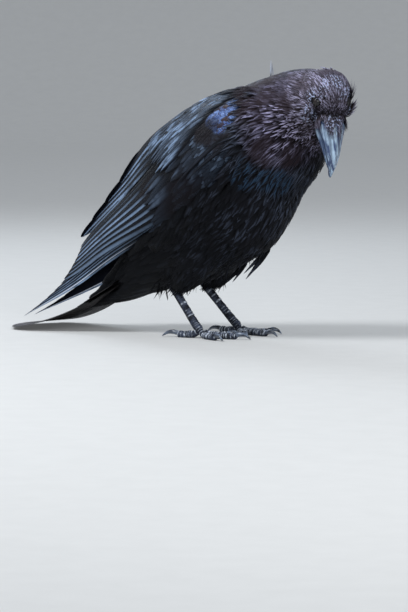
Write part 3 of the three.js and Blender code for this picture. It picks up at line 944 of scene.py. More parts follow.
def plumage(name, barbs, wing=0.0, tail=0.0, roughness=0.46, gloss=0.7, streak=(0.1, 0.8), rise=(0.3, 0.7),
            shingled=0.0, even=0.15, patch=None, places=(), pale=0.0):
    """A feather's finish, by the place across it (0 at the shaft, 1 at the rim) and along it. Its
    ground is dark between barbs and has painted shade towards the root, where the feather above
    overlaps it. Painted gloss, a highlight painted into the colour that also sets the metal share,
    lies in a streak down its middle, stronger on some feathers and in clouded areas of the coat.
    Shingled feathers have the painted highlight on the side that their neighbour leaves open, and one
    with a bared shaft has a painted highlight along it. A patch is painted blue sheen with brown rims.
    Places are (kind, centre, reach): painted shade, brown laid over the painted gloss, pale flecks,
    painted gloss streaks, painted blue sheen, or painted steel-blue sheen on the open side. Pale
    bleaches the whole feather."""
    paint = Paint(name)
    side, along = paint.map_parts("vane")
    across = (side * 2 - 1).size()
    tone = paint.attribute("tone")
    barb = ((along + across * 0.35) * (barbs * tau) + tone * 20).wave()
    fray = paint.noise(paint.spot(), 900, 2)
    cloud = paint.noise(paint.spot(), 38, 2)
    ground = markings(paint, GROUND, wing, tail)
    # Painted shade towards the root, where the feather above overlaps it, times the random tone and the
    # barbs.
    shade = (along.ease(0.1, 0.8) * 0.9 + 0.3) * (0.5 + tone) * (0.92 + barb * 0.08)
    ground = paint.node("ShaderNodeHueSaturation", None, {"Value": shade, "Color": ground}).outputs[0]
    # Painted highlight (lit): a streak down the middle, or for shingled feathers the side left open.
    middle = 1 - across.ease(*streak)
    open_side = side.ease(0.56, 0.80) * (1 - side.ease(0.90, 1.0) * 0.75)
    lit = middle * (1 - shingled) + open_side * shingled
    lit = lit * along.ease(*rise) * (tone.ease(0.3, 0.8) * cloud.ease(0.36, 0.6) * 0.85 + even)
    lit = (lit * (0.75 + fray * 0.5) * (0.9 + barb * 0.1) * gloss).clipped()
    value = paint.mix(lit, ground, markings(paint, PAINTED_GLOSS, wing, tail))
    # Painted highlight along the shaft of a shingled feather whose tone is near 1.
    if shingled:
        bare = (1 - across.ease(0.1, 0.22)) * tone.ease(0.95, 0.97) * along.ease(0.25, 0.5)
        value = paint.mix(bare, value, PALE_AND_SHAFT_HIGHLIGHT)
    if patch:
        value = painted_blue_sheen(paint, value, patch, across, along, tone, fray, cloud)
    if places:
        value = marked_places(paint, value, places, middle, open_side, along, tone, fray, cloud)
    if pale:
        value = paint.mix(along.ease(0.0, 0.4) * pale, value, PALE_AND_SHAFT_HIGHLIGHT)
    bump = paint.bump(barb * 0.5 + fray * 0.6 + (1 - across.ease(0.0, 0.08)) * 1.5, 0.35, 0.0003)
    return paint.finish(Base_Color=value, Roughness=roughness + fray * 0.14 - lit * 0.1,
                        Metallic=lit * 0.45, Normal=bump, Specular_IOR_Level=0.115,
                        Specular_Tint=(0.8, 0.86, 1.0))


def bare_skin():
    """Skin under the coat: the same markings, darker, with small pimples."""
    paint = Paint("skin")
    pimples = paint.cells(paint.spot(), 1400)
    base = paint.mix(pimples.ease(0.1, 0.7), markings(paint, GROUND), (0.006, 0.006, 0.008))
    return paint.finish(Base_Color=base, Roughness=0.6 - pimples * 0.15,
                        Normal=paint.bump(1 - pimples, 0.5, 0.0005))


def horn(name, base, streak, along, roughness=0.3):
    """Horn: pale streaks of painted reflection along it, a fine grain, patches lighter by wear and
    painted reflection, and painted shade where the mesh's own edge value is high."""
    paint = Paint(name)
    spot = paint.moved(paint.spot(), turn=along)
    streaks = paint.noise(paint.moved(spot, (260, 260, 18)), 1, 4, 0.6)
    wear_and_glint = paint.noise(spot, 60, 3)
    edge = paint.attribute("edge")
    # pale is painted reflection, in streaks and in worn patches; the edge value paints shade.
    pale = (streaks.ease(0.41, 0.63) * 0.85 + wear_and_glint.ease(0.45, 0.75) * 0.4) * (1 - edge)
    colour = paint.mix(edge * 0.6, paint.mix(pale.clipped(), base, streak), (0.010, 0.015, 0.028))
    height = streaks * 0.6 + paint.noise(spot, 700, 2) * 0.2
    return paint.finish(Base_Color=colour, Roughness=roughness + wear_and_glint * 0.2 - streaks * 0.1,
                        Coat_Weight=0.35, Coat_Roughness=0.2, Normal=paint.bump(height, 0.5, 0.0004))


def leg_scale():
    """Leg: clouded slate plates over a fine net of scales, both pale at their edges by wear and painted
    highlight.
    """
    paint = Paint("leg_scale")
    edge = paint.attribute("edge")
    net = paint.cells(paint.spot(), 900, "DISTANCE_TO_EDGE")
    wear_and_glint = paint.noise(paint.spot(), 260, 4)
    patchy = paint.noise(paint.spot(), 90, 2).ease(0.36, 0.58) * 0.75 + 0.25
    # Pale plate and scale edges: partly wear, partly painted highlight.
    rim = (edge + (1 - net.ease(0.0, 0.1)) * 0.12) * (wear_and_glint.ease(0.36, 0.60) + 0.15) * patchy
    cloud = paint.noise(paint.spot(), 150, 3).ease(0.40, 0.62)
    slate = paint.mix(cloud, (0.009, 0.011, 0.018), (0.060, 0.074, 0.115))
    colour = paint.mix(rim.clipped(), slate, (0.62, 0.68, 0.78))
    return paint.finish(Base_Color=colour, Roughness=0.45 + wear_and_glint * 0.25, Specular_IOR_Level=0.15,
                        Normal=paint.bump(net.ease(0.0, 0.2) + wear_and_glint * 0.4, 0.5, 0.0003))


def eye_finish():
    """Eye: a black pupil, a dark brown iris with rays, and a clear wet coat. The eye's own map gives
    the turn round the pupil and the distance from it."""
    paint = Paint("eye")
    turn, off = paint.map_parts("OFBake")
    rays = paint.noise(paint.node("ShaderNodeCombineXYZ", None, {0: turn * 40, 1: off * 3}).outputs[0], 1, 3)
    iris = paint.mix(rays, (0.006, 0.003, 0.002), (0.02, 0.010, 0.006))
    inner = paint.mix(off.ease(0.125, 0.14), (0.001, 0.001, 0.001), iris)
    whole = paint.mix(off.ease(0.3, 0.33), inner, (0.004, 0.004, 0.005))
    return paint.finish(Base_Color=whole, Roughness=0.05)


# ---- skin, with the lids ----
# Half width, half height, thickness and distance out of the lids, and of the fold they slide under.
LID_RINGS = ((4.3, 3.7, 0.6, 4.35), (5.5, 4.9, 0.8, 3.2))


def lid(side):
    """Rings of bare skin round an eye: tubes on ovals that are a half width wide and a half height
    high, bent back over the eyeball. At turn t their thickness is crinkled by
    1 + 0.14 sin(19 t + width) sin(7 t)."""
    shells = []
    turn, around = grid(turns(72), turns(12))
    for wide, high, thick, out in LID_RINGS:
        crinkle = 1 + 0.14 * np.sin(turn * 19 + wide) * np.sin(turn * 7)
        reach = 1 + (thick * crinkle * np.cos(around)) / 5.5
        rings = np.stack([wide * reach * np.cos(turn), side * (out + thick * crinkle * np.sin(around)),
                          high * reach * np.sin(turn)], -1)
        rings = rings + np.array([EYE_ALONG, side * EYE_OUT, EYE_UP])
        shells.append(ring_tube(on_head(rings)))
    return shells


def slab_of(surface, low, high, top, under, steps):
    """Closed slab between two heights over a sheet, for u from low to high and nearly all of v."""
    u, v = grid(np.linspace(low, high, steps[0]), np.linspace(0.03, 0.97, steps[1]))
    loop = np.concatenate([surface.raised(u, v, top), surface.raised(u, v, under)[:, ::-1]], 1)
    return tube(loop)


def make_skin():
    """All flesh as one closed skin: the lofts pulled in by the coat's depth and the arms, joined by
    a voxel remesh and smoothed, then the lids."""
    shrunk = [loft(BODY, *BODY_ENDS, -COAT_DEPTH), head_loft(FACE, *FACE_ENDS, -HEAD_COAT)]
    shells = [sampled(shape, 60, 60, 0.01, 0.99) for shape in shrunk]
    for thigh in THIGHS.values():
        shells.append(tube(thigh.raised(*grid(np.linspace(0.02, 0.98, 40), turns(32)), -THIGH_COAT)))
    for wing in WINGS.values():
        shells.append(slab_of(wing, 0.0, COVERT_END - 0.03, -WING_COAT, -WING_FLESH, (30, 24)))
    rough = build("skin_parts", *joined(shells))
    remesh = rough.modifiers.new("whole", "REMESH")
    remesh.mode, remesh.voxel_size = "VOXEL", SKIN_VOXEL
    ease_off = rough.modifiers.new("ease", "SMOOTH")
    ease_off.factor, ease_off.iterations = 0.6, 10
    whole = bpy.data.meshes.new_from_object(rough.evaluated_get(bpy.context.evaluated_depsgraph_get()))
    bpy.data.objects.remove(rough)
    count = len(whole.vertices)
    points = np.empty(count * 3, np.float32)
    whole.vertices.foreach_get("co", points)
    corners = np.empty(len(whole.loops), np.int32)
    whole.loops.foreach_get("vertex_index", corners)
    bpy.data.meshes.remove(whole)
    body = (points.reshape(-1, 3) * 1000 - SHIFT, corners.reshape(-1, 4), np.zeros((0, 3), int))
    lids = [shell for side in SIDES.values() for shell in lid(side)]
    skin = build("skin", *joined([body, *lids]))
    flesh = ["trunk", "neck", "head"] + [f"{limb}_{name}" for limb in ("thigh", "wing") for name in SIDES]
    dress(skin, "plumage", bare_skin(), *flesh)


# ---- feathers of the body ----
def body_feathers(vane, start, stop, around, row_gap, gap, wander=0.12, **shape):
    """Feathers in rows on the cloaked body, pointing to the rump. Those whose roots are under a wing
    or in the head are left out."""
    u, v = roots_on(TRUNK, start, stop, around, row_gap, gap)
    keep = ~CLOAK.under_wing(u, v) & ~in_head(TRUNK.at(u, v), 2)
    u, v = u[keep], v[keep]
    points = laid_feathers(BODY_SURFACE, vane, u, v, -1, wander, (0.82, 1.15), lift=0.35, slimming=0.5,
                           **shape)
    return part(points, u, v / tau % 1)


# Marks are (kind, place, reach in metres).
# On the neck: painted gloss streaks down the hackles, and brown laid over the painted gloss.
NECK_MARKS = [(kind, place(at), reach) for kind, at, reach in (
    ("brown", (88, -48, 300), 0.024), ("brown", (93, -59, 272), 0.020),
    ("brown", (94, -60, 246), 0.018), ("brown", (75, -55, 285), 0.028),
    ("brown", (121, -54, 291), 0.016), ("brown", (93, -59, 228), 0.022),
    ("brown", (66, -30, 312), 0.030), ("brown", (86, -24, 319), 0.026),
    ("brown", (123, -40, 229), 0.020),
    ("painted_streaks", (108, -55, 281), 0.016), ("painted_streaks", (111, -56, 269), 0.018),
    ("painted_streaks", (116, -53, 256), 0.020), ("painted_streaks", (131, -51, 264), 0.018),
    ("painted_streaks", (127, -45, 250), 0.018), ("painted_streaks", (114, -51, 241), 0.019),
    ("brown", (80, 52, 292), 0.030), ("brown", (60, 58, 262), 0.030),
    ("painted_streaks", (118, 50, 272), 0.024), ("painted_streaks", (126, 42, 252), 0.022))]
# Painted blue sheen on both sides of the breast.
BREAST_PAINTED_SHEEN = [("painted_sheen", place((x, side * y, z)), 0.024)
                for side in SIDES.values() for x, y, z in ((74, 65, 209), (92, 55, 200), (106, 41, 194))]


def make_body_coat():
    """Neck hackles, breast, belly and flanks, mantle and rump."""
    small, long = Vane(6, 3), Vane(7, 3)
    soft = plumage("body_feather", 26, gloss=0.8, even=0.05, streak=(0.1, 0.8), places=BREAST_PAINTED_SHEEN)
    neck = plumage("neck_feather", 22, roughness=0.4, gloss=0.95, streak=(0.15, 0.85), even=0.3,
                   places=BREAST_PAINTED_SHEEN + NECK_MARKS)
    back = plumage("mantle_feather", 26, wing=0.45, gloss=0.4)
    groups = {
        "neck_hackles": (long, neck, dict(
            start=0.985, stop=0.68, around=(0, tau), row_gap=5.6, gap=4.2, length=25, width=5.4,
            low=-3.6, high=0.6, point=0.8, shoulder=0.4, camber=0.35, wander=0.2)),
        "breast_feathers": (small, soft, dict(
            start=0.70, stop=0.40, around=(1.15, tau - 1.15), row_gap=6, gap=4.5, length=27, width=7.4,
            low=-3.8, high=0.1, point=0.45, ragged=0.16, camber=0.2, wander=0.16)),
        "belly_feathers": (small, soft, dict(
            start=0.44, stop=0.03, around=(1.2, tau - 1.2), row_gap=7, gap=5.3, length=34, width=8.8,
            low=-4, high=0.2, point=0.6, ragged=0.24, wander=0.22, camber=0.2)),
        "mantle_feathers": (small, back, dict(
            start=0.76, stop=0.34, around=(-1.25, 1.25), row_gap=6.5, gap=6, length=27, width=10,
            low=-3.6, high=0.3, point=0.25, camber=0.2)),
        "rump_feathers": (small, back, dict(
            start=0.38, stop=0.03, around=(-1.4, 1.4), row_gap=8, gap=7, length=32, width=12,
            low=-3.6, high=0, point=0.3, camber=0.2)),
    }
    for name, (vane, finish, rows) in groups.items():
        coat(name, vane, [body_feathers(vane, **rows)], finish)


def on_bill(points):
    """Which points lie inside a bill's own rings: (left / half width)^2 + (up / half height)^2 < 1."""
    along, left, up = np.moveaxis((points - np.array(HEAD_AT, float)) @ HEAD_AXES.T, -1, 0)
    inside = np.zeros(along.shape, bool)
    for rows in (BILL_UPPER, BILL_LOWER):
        middle, size = (np.array([row[k] for row in rows], float) for k in range(2))
        rise = up - np.interp(along, middle[:, 0], middle[:, 1])
        wide, above, below = (np.interp(along, middle[:, 0], size[:, k]) for k in range(3))
        high = np.where(rise > 0, above, below)
        inside |= (left / wide) ** 2 + (rise / high) ** 2 < 1
    return inside & (along > middle[0, 0] + 2)


def face_places(kind, *rows):
    """Places of a kind on both sides of the head, from (along, out, up, reach)."""
    return [(kind, place(on_head((along, side * out, up))), reach)
            for side in SIDES.values() for along, out, up, reach in rows]


# Painted shade in the lores and round the eyes, and pale flecks over crown and cheeks.
FACE_MARKS = (face_places("painted_shade", (16, 4, 10, 0.013), (13, 13, 7, 0.013), (7, 19, 3, 0.010),
                          (18, 20, 0, 0.010))
              + face_places("flecked", (-13, 13, 13, 0.014), (-25, 8, 14, 0.012), (8, 25, -9, 0.017),
                            (-8, 24, 6, 0.011)))
HEAD_FEATHERS = 5400                # places tried, before those by the bill and eyes are left out


def from_eyes(way):
    """Angle from the nearer eye's direction."""
    nearer = np.max([way @ eye for eye in EYE_WAYS.values()], axis=0)
    return np.arccos(np.clip(nearer, -1, 1))


def make_head_coat():
    """Small feathers over the whole head from evenly spread directions, the golden-angle spiral:
    z = 1 - 2(k + 1/2)/n, turn = k times the golden angle. They are shortest by the bill and eyes."""
    k = np.arange(HEAD_FEATHERS)
    z, turn = 1 - 2 * (k + 0.5) / HEAD_FEATHERS, k * pi * (3 - 5**0.5)
    ring = np.sqrt(1 - z**2)
    even = np.stack([ring * np.cos(turn), ring * np.sin(turn), z], -1)
    way = unit(even + random.normal(0, 0.012, (HEAD_FEATHERS, 3)))
    from_bill = np.arccos(np.clip(way @ BILL_WAY, -1, 1))
    keep = ~on_bill(BULB.at(way)) & (from_bill > 0.3) & (way @ NECK_WAY < 0.93) & (from_eyes(way) > 0.2)
    way, from_bill = way[keep], from_bill[keep]
    heading = turned(away_to_neck(way), way, random.normal(0, 0.16, len(way)))
    length = 3.6 + 10 * ease(from_bill, 0.7, 2.3) + 7 * ease(way @ NECK_WAY, 0.45, 0.85)
    length = length * random.uniform(0.8, 1.15, len(way))
    tip = unit(way + heading * (length / BULB.radius(way))[:, None])
    clear = from_eyes(tip) > 0.165
    way, heading, length = way[clear], heading[clear], length[clear]
    vane = Vane(4, 3)
    laid = shape_vanes(vane, len(way), length, length * 0.34 + 0.5, -1.4,
                       0.25 + random.normal(0, 0.2, len(way)), point=0.7, shoulder=0.45, thick=0.3,
                       camber=0.3, ragged=0.2)
    points = BULB.lay(way, heading, *laid)
    polar, turn = BULB.angles(way)
    coat("head_feathers", vane, [part(points, turn, polar)],
         plumage("head_feather", 12, roughness=0.5, gloss=0.85, streak=(0.2, 0.9),
                 places=FACE_MARKS + NECK_MARKS))


def make_thigh_coat():
    """Loose feathers down each thigh, longer at its end, hanging over the leg."""
    finish = plumage("thigh_feather", 22, gloss=0.6)
    vane = Vane(6, 3)
    for name, thigh in THIGHS.items():
        u, v = roots_on(thigh, 0.34, 0.93, (0, tau), 6, 4.5)
        points = laid_feathers(thigh, vane, u, v, 1, 0.15, (0.8, 1.2), 24, 8, -3, 0.6, 0.7,
                               point=0.7, ragged=0.25, camber=0.25)
        coat(f"thigh_feathers_{name}", vane, [part(points, u, v / tau % 1)], finish)


# ---- wings and tail ----
def covert_row(wing, vane, start, spread, count, length, width, low, high, **shape):
    """A row of coverts on a wing from roots at u = start, v over the spread."""
    v = np.linspace(*spread, count) + random.normal(0, 0.004, count)
    u = start + random.normal(0, 0.003, count)
    u, v = wing.inside(u, v, 0.002)
    points = laid_feathers(wing, vane, u, v, 1, 0.05, (0.92, 1.08), length, width, low, high, 0.2, **shape)
    return part(points, u, np.clip(v, 0, 1))


def covert_finish(name, wing):
    """Dull coverts, with a patch of painted blue sheen at the wing's bend and painted shade behind and below
    it.
    """
    painted_shade = [("painted_shade", place(wing.at(0.32, 0.96)), 0.06), ("painted_shade", place(wing.at(0.20, 0.40)), 0.026)]
    return plumage(f"covert_{name}", 34, wing=1.0, roughness=0.38, even=0.2, gloss=0.28,
                   streak=(0.2, 1.0), rise=(0.3, 0.9), places=painted_shade, patch=place(wing.at(0.115, 0.36)))


def make_coverts():
    """Lesser, median and greater coverts in rows, and the scapulars over the wing's upper edge."""
    vane = Vane(8, 5)
    for name, wing in WINGS.items():
        rows = [dict(start=u, spread=(0.02, 1.0), count=26, length=26, width=11, low=-3.2, high=0.2)
                for u in np.linspace(0.0, 0.2, 12)]
        rows += [dict(start=0.22, spread=(0.03, 0.98), count=20, length=38, width=13, low=-2.8, high=0.1),
                 dict(start=0.26, spread=(0.03, 0.97), count=18, length=52, width=15, low=-2.6, high=0.0),
                 dict(start=0.32, spread=(0.14, 0.97), count=15, length=66, width=17, low=-2.2, high=0.0)]
        parts = [covert_row(wing, vane, point=0.35, ragged=0.08, **row) for row in rows]
        coat(f"wing_coverts_{name}", vane, parts, covert_finish(name, wing), "flight_feather")
        rows = [dict(start=u, spread=(-0.02, 0.10 + 0.9 * u), count=int(5 + 44 * u), length=34 + 90 * u,
                     width=10 + 14 * u) for u in np.linspace(0.0, 0.26, 13)]
        parts = [covert_row(wing, vane, low=-1.6, high=1.5, camber=0.35, point=0.5, ragged=0.1, **row)
                 for row in rows]
        finish = plumage(f"scapular_{name}", 40, wing=1.0, roughness=0.36, gloss=1.05,
                         streak=(0.1, 0.75), rise=(0.3, 0.75))
        coat(f"scapulars_{name}", vane, parts, finish, "flight_feather")


# Flight feathers of a wing: count, then first and last root, tip, bow, width and height, and outline.
FLIGHT = [
    (4, ((0.19, 0.02), (0.25, 0.22)), ((0.50, -0.05), (0.69, -0.06)), (0.02, 0.05), (26, 25), (1.8, 0.6),
     dict(shoulder=0.72, point=0.45, lopsided=0.25)),
    (2, ((0.24, 0.16), (0.25, 0.24)), ((0.67, 0.05), (0.72, 0.11)), (0.04, 0.05), (15, 17), (0.2, 0.0),
     dict(shoulder=0.8, point=0.45, lopsided=0.2)),
    (6, ((0.26, 0.28), (0.32, 0.86)), ((0.73, 0.16), (0.84, 0.46)), (0.04, 0.12), (25, 21), (-0.2, -2.2),
     dict(shoulder=0.8, point=0.35, lopsided=0.3)),
    (7, ((0.30, 0.62), (0.36, 0.96)), ((0.83, 0.42), (1.0, 0.86)), (0.05, 0.12), (20, 14), (-3.2, -5.0),
     dict(shoulder=0.5, point=0.6, lopsided=0.5)),
]
# Painted shade and painted steel-blue sheen on the flight feathers, on both wings.
FLIGHT_MARKS = [("painted_shade", -70, 60, 186, 0.024), ("painted_steel_sheen", -72, 76, 150, 0.034),
                ("painted_steel_sheen", -97, 68, 138, 0.030), ("painted_steel_sheen", -120, 63, 118, 0.028)]
SHAFT_PLACES = np.array([-1, -0.6, -0.14, 0, 0.14, 0.6, 1])


def long_vane():
    """A flight feather's vane, with its columns moved to the places that the shaft needs."""
    vane = Vane(26, len(SHAFT_PLACES), 1.15)
    vane.q = np.interp(vane.q, np.linspace(-1, 1, len(SHAFT_PLACES)), SHAFT_PLACES)
    return vane


def even_steps(ends, count):
    """`count` even steps from the first of two places to the second."""
    share = np.arange(count) / (count - 1)
    return np.array(ends[0], float) + np.multiply.outer(share, np.subtract(ends[1], ends[0]))


def long_vanes(surface, vane, start, end, bow, width, height, step, shoulder=0.72, point=0.3,
               thick=0.5, lopsided=0.0):
    """Flight feathers along paths on a sheet. start and end are (N, 2) places; v bows by bow p(1 - p);
    height is each feather's level, which falls by step from one rim to the other, and the shaft
    stands out by 0.35 exp(-(q / 0.1)^2). Lopsided moves the vane sideways off its shaft."""
    p, q = vane.p[None], vane.q[None]
    change = end - start
    u = start[:, :1] + change[:, :1] * p
    v = start[:, 1:] + change[:, 1:] * p + bow[:, None] * p * (1 - p)
    by_u, by_v = surface.slopes(u, v)
    sideways = change[:, 1:] + bow[:, None] * (1 - 2 * p)
    heading = unit(by_u * change[:, :1, None] + by_v * sideways[..., None])
    out = unit(np.cross(by_u, by_v)) * surface.turn
    lower = np.sign((np.cross(out, heading) * by_v).sum(-1))
    half = width[:, None] / 2 * outline(p, shoulder, point)
    nick = 1 - 0.05 * random.random((len(start), vane.rows))[:, vane.row] ** 3 * (np.abs(q) > 0.9)
    across = half * (q * nick + lopsided * (1 - np.abs(q)) * p) * lower
    shaft = 0.35 * np.exp(-((q / 0.1) ** 2)) * (vane.top > 0) * (1 - p * 0.7)
    level = height[:, None] - step * q + 0.06 * half * (1 - q**2)
    level = level + vane.top * thick / 2 * np.clip(half / width[:, None] * 2, 0.1, 1) + shaft
    zero = np.zeros(u.shape)[..., None]
    return surface.lay(u, v, heading, zero, across[..., None], level[..., None])[:, :, 0]


def long_coat(name, vane, points, finish, *nodes):
    """Flight feathers as one piece. Each has a strip of its own on the piece's map. The last one's
    tone is 1, which paints a highlight along its bared shaft."""
    count = len(points)
    tone = random.random(count) * 0.9
    tone[-1] = 1
    strip = (np.arange(count)[:, None] + 0.5 + 0.44 * vane.q[None]) / count
    bake = np.stack([strip, np.broadcast_to(0.02 + 0.96 * vane.p, strip.shape)], -1)
    feathers(name, vane, points, bake, tone, "flight_feather", finish, *nodes)


def make_flight_feathers():
    """Tertials over secondaries over primaries. In each group root and tip go in even steps from
    the first row's place to the last one's, and each lower feather lies under the one above."""
    vane = long_vane()
    for name, wing in WINGS.items():
        groups = []
        for count, *ranges, shape in FLIGHT:
            ends = [even_steps(pair, count) for pair in ranges]
            groups.append(long_vanes(wing, vane, *ends, 0.05, **shape))
        bands = [(kind, place((x, SIDES[name] * y, z)), reach) for kind, x, y, z, reach in FLIGHT_MARKS]
        finish = plumage(f"flight_{name}", 150, wing=1.0, roughness=0.34, gloss=1.5, shingled=1.0,
                         even=0.4, places=bands)
        long_coat(f"flight_feathers_{name}", vane, np.concatenate(groups), finish,
                  f"secondaries_{name}", f"primaries_{name}")


TAIL_FEATHERS = 12


def make_tail():
    """Twelve tail feathers, the middle pair on top."""
    vane = long_vane()
    count, middle = TAIL_FEATHERS, (TAIL_FEATHERS - 1) / 2
    rank = np.abs(np.arange(count) - middle) - 0.5
    across = (np.arange(count) - middle) / middle
    order = np.argsort(-rank, kind="stable")
    start = np.stack([np.full(count, 0.1), 0.5 + 0.34 * across], -1)
    end = np.stack([np.full(count, 0.995), 0.5 + 0.46 * across], -1)
    points = long_vanes(TAIL, vane, start[order], end[order], np.zeros(count), np.full(count, 29.0),
                        -0.16 * rank[order], 0.0, shoulder=0.8, point=0.12, thick=0.4)
    points[..., 2] = np.maximum(points[..., 2], 0.15)
    finish = plumage("tail_feather", 150, tail=1.0, roughness=0.4, streak=(0.3, 1.0), even=0.3)
    long_coat("tail_feathers", vane, points, finish, "tail")


def make_tail_coverts():
    """Feathers over and under the tail's base."""
    vane = Vane(8, 5)
    under = Surface(lambda u, v: TAIL.raised(u, v, -3.0), turn=1, limits=TAIL.limits)
    parts = []
    for surface, rows in ((TAIL, np.linspace(0.02, 0.34, 8)), (under, np.linspace(0.02, 0.3, 7))):
        for start in rows:
            parts.append(covert_row(surface, vane, start, (0.1, 0.9), 12, 44 + 60 * start, 17, -0.5, 1.2,
                                    point=0.3, ragged=0.1))
    for points, _, _ in parts:
        points[..., 2] = np.maximum(points[..., 2], 0.4)
    coat("tail_coverts", vane, parts, plumage("tail_covert", 34, tail=0.7, gloss=0.5))


def trunk_roots(count, along, around, side=None):
    """Random places on the trunk's own surface, with its normal: u over `along`, v over `around`
    measured from the belly, on both sides or on one."""
    u = random.uniform(*along, count)
    v = pi + random.uniform(*around, count) * (random.choice([-1, 1], count) if side is None else -side)
    return u, v, TRUNK.at(u, v), TRUNK.normal(u, v)


def make_loose_feathers():
    """Feathers that run free of the body: from vent and rump onto the tail, from the flanks back
    under the wings, over the thighs, and strays along the belly's edge. Each group points from its
    roots to a place on the tail or leg."""
    vane = Vane(8, 5)
    groups = []

    def add(roots, target, length, width, low, high, **shape):
        """Vanes from the roots towards the target, kept above the floor."""
        u, v, at, out = roots
        size = random.uniform(0.8, 1.2, len(u))
        points = loose(vane, at, target - at, out, length * size, width * size, low,
                       high + random.normal(0, 0.7, len(u)), camber=0.2, **shape)
        points[..., 2] = np.maximum(points[..., 2], 0.4)
        groups.append(part(points, u, v / tau % 1))

    def on_tail(at, u, spread, lift):
        """Places along the tail at u, as far to each side as the roots are, and lifted."""
        across = np.clip(0.5 + spread * at[:, 1] / 45, 0.05, 0.95)
        return TAIL.at(np.full(len(at), u), across) + [0, 0, lift]

    roots = trunk_roots(170, (0.03, 0.30), (0, 1.2))
    add(roots, on_tail(roots[2], 0.55, 0.3, -5), 56, 14, -4, 0.5, point=0.4, ragged=0.16, curl=-2)
    roots = trunk_roots(150, (0.03, 0.26), (1.9, pi))
    add(roots, on_tail(roots[2], 0.5, 0.3, 8), 58, 14, -4, 1.0, point=0.3, ragged=0.1)
    roots = trunk_roots(200, (0.10, 0.44), (0.9, 2.0))
    add(roots, on_tail(roots[2], 0.36, 0.42, 2), 50, 13, -4, 1.5, point=0.5, ragged=0.2, curl=1)
    for name, side in SIDES.items():
        foot = FEET[name]
        roots = trunk_roots(110, (0.30, 0.60), (0.35, 1.35), side)
        target = np.array([foot[0] - ANKLE_BACK - 8, foot[1] - side * ANKLE_INWARD, ANKLE_HEIGHT + 4])
        add(roots, target, 34, 11, -4, 2.5, point=0.6, ragged=0.24)
    for wing in WINGS.values():
        u, v = random.uniform(0.2, 0.52, 90), random.uniform(0.9, 1.06, 90)
        by_u, by_v = wing.slopes(u, v)
        at = wing.raised(u, v, random.uniform(-2.0, 0.5, 90))
        add((u, v * 0.9, at, wing.normal(u, v)), at + unit(by_u) + 0.25 * unit(by_v), 34, 11, -1.5, 1.2,
            point=0.5, ragged=0.2)
    roots = trunk_roots(70, (0.30, 0.56), (0, 0.9))
    add(roots, roots[2] + [-24, 0, -14], 30, 8, -4, 0, point=0.8, ragged=0.3, curl=-1)
    coat("loose_feathers", vane, groups, plumage("loose_feather", 26, gloss=0.8, streak=(0.2, 0.9)))


def hanging(vane, at, heading, out, lengths, width, low, lifts, curls):
    """Narrow ragged vanes. Lengths and lifts of the tips are even between two numbers, and curls are
    spread about the first number by the second."""
    count = len(at)
    return loose(vane, at, heading, out, random.uniform(*lengths, count), width, low,
                 random.uniform(*lifts, count), point=0.8, ragged=0.1, camber=0.2,
                 curl=random.normal(*curls, count), sweep=random.normal(0, 2, count))


def make_fringe():
    """Narrow, ragged feathers that hang from the belly and round the thighs' ends, and four long
    stray ones that stand clear under the belly."""
    vane = Vane(7, 3)
    count = 300
    u, v, at, out = trunk_roots(count, (0.18, 0.52), (0, 0.8))
    hang = np.array([-20, 0, -13]) + random.normal(0, 6, (count, 3))
    groups = [(hanging(vane, at, hang, out, (13, 20), 2.0, -4, (0, 3), (-1, 3)), u, v)]
    count = 200
    for thigh in THIGHS.values():
        u, v = random.uniform(0.6, 0.95, count), random.uniform(0, tau, count)
        hang = unit(thigh.slopes(u, v)[0]) + random.normal(0, 0.2, (count, 3))
        groups.append((hanging(vane, thigh.at(u, v), hang, thigh.normal(u, v), (12, 18), 1.8, -3, (0, 2),
                               (-0.5, 2)), u, v))
    u, v = np.array([0.50, 0.49, 0.42, 0.43]), np.array([2.9, 3.1, 2.9, 3.05])
    hang = np.array([(-0.55, -0.3, -0.78), (-0.6, -0.3, -0.7), (-0.62, -0.3, -0.68), (-0.5, -0.35, -0.8)])
    groups.append((loose(vane, TRUNK.at(u, v), hang, np.array([(0.5, -0.86, 0)] * 4),
                         np.array([50, 38, 44, 32]), np.array([7, 5, 6, 4.5]), -2, 1, point=0.7,
                         shoulder=0.4, ragged=0.2, camber=0.2), u, v))
    coat("belly_fringe", vane, [part(points, u, v / tau % 1) for points, u, v in groups],
         plumage("fringe_feather", 18, gloss=0.7, streak=(0.2, 0.9)))


# ---- bill, eyes, legs and claws ----
BILL_FLARE = (4.0, 1.6, 0, 0, 0, 0)


def bell(x, middle, spread):
    """exp(-((x - middle) / spread)^2)."""
    return np.exp(-(((x - middle) / spread) ** 2))


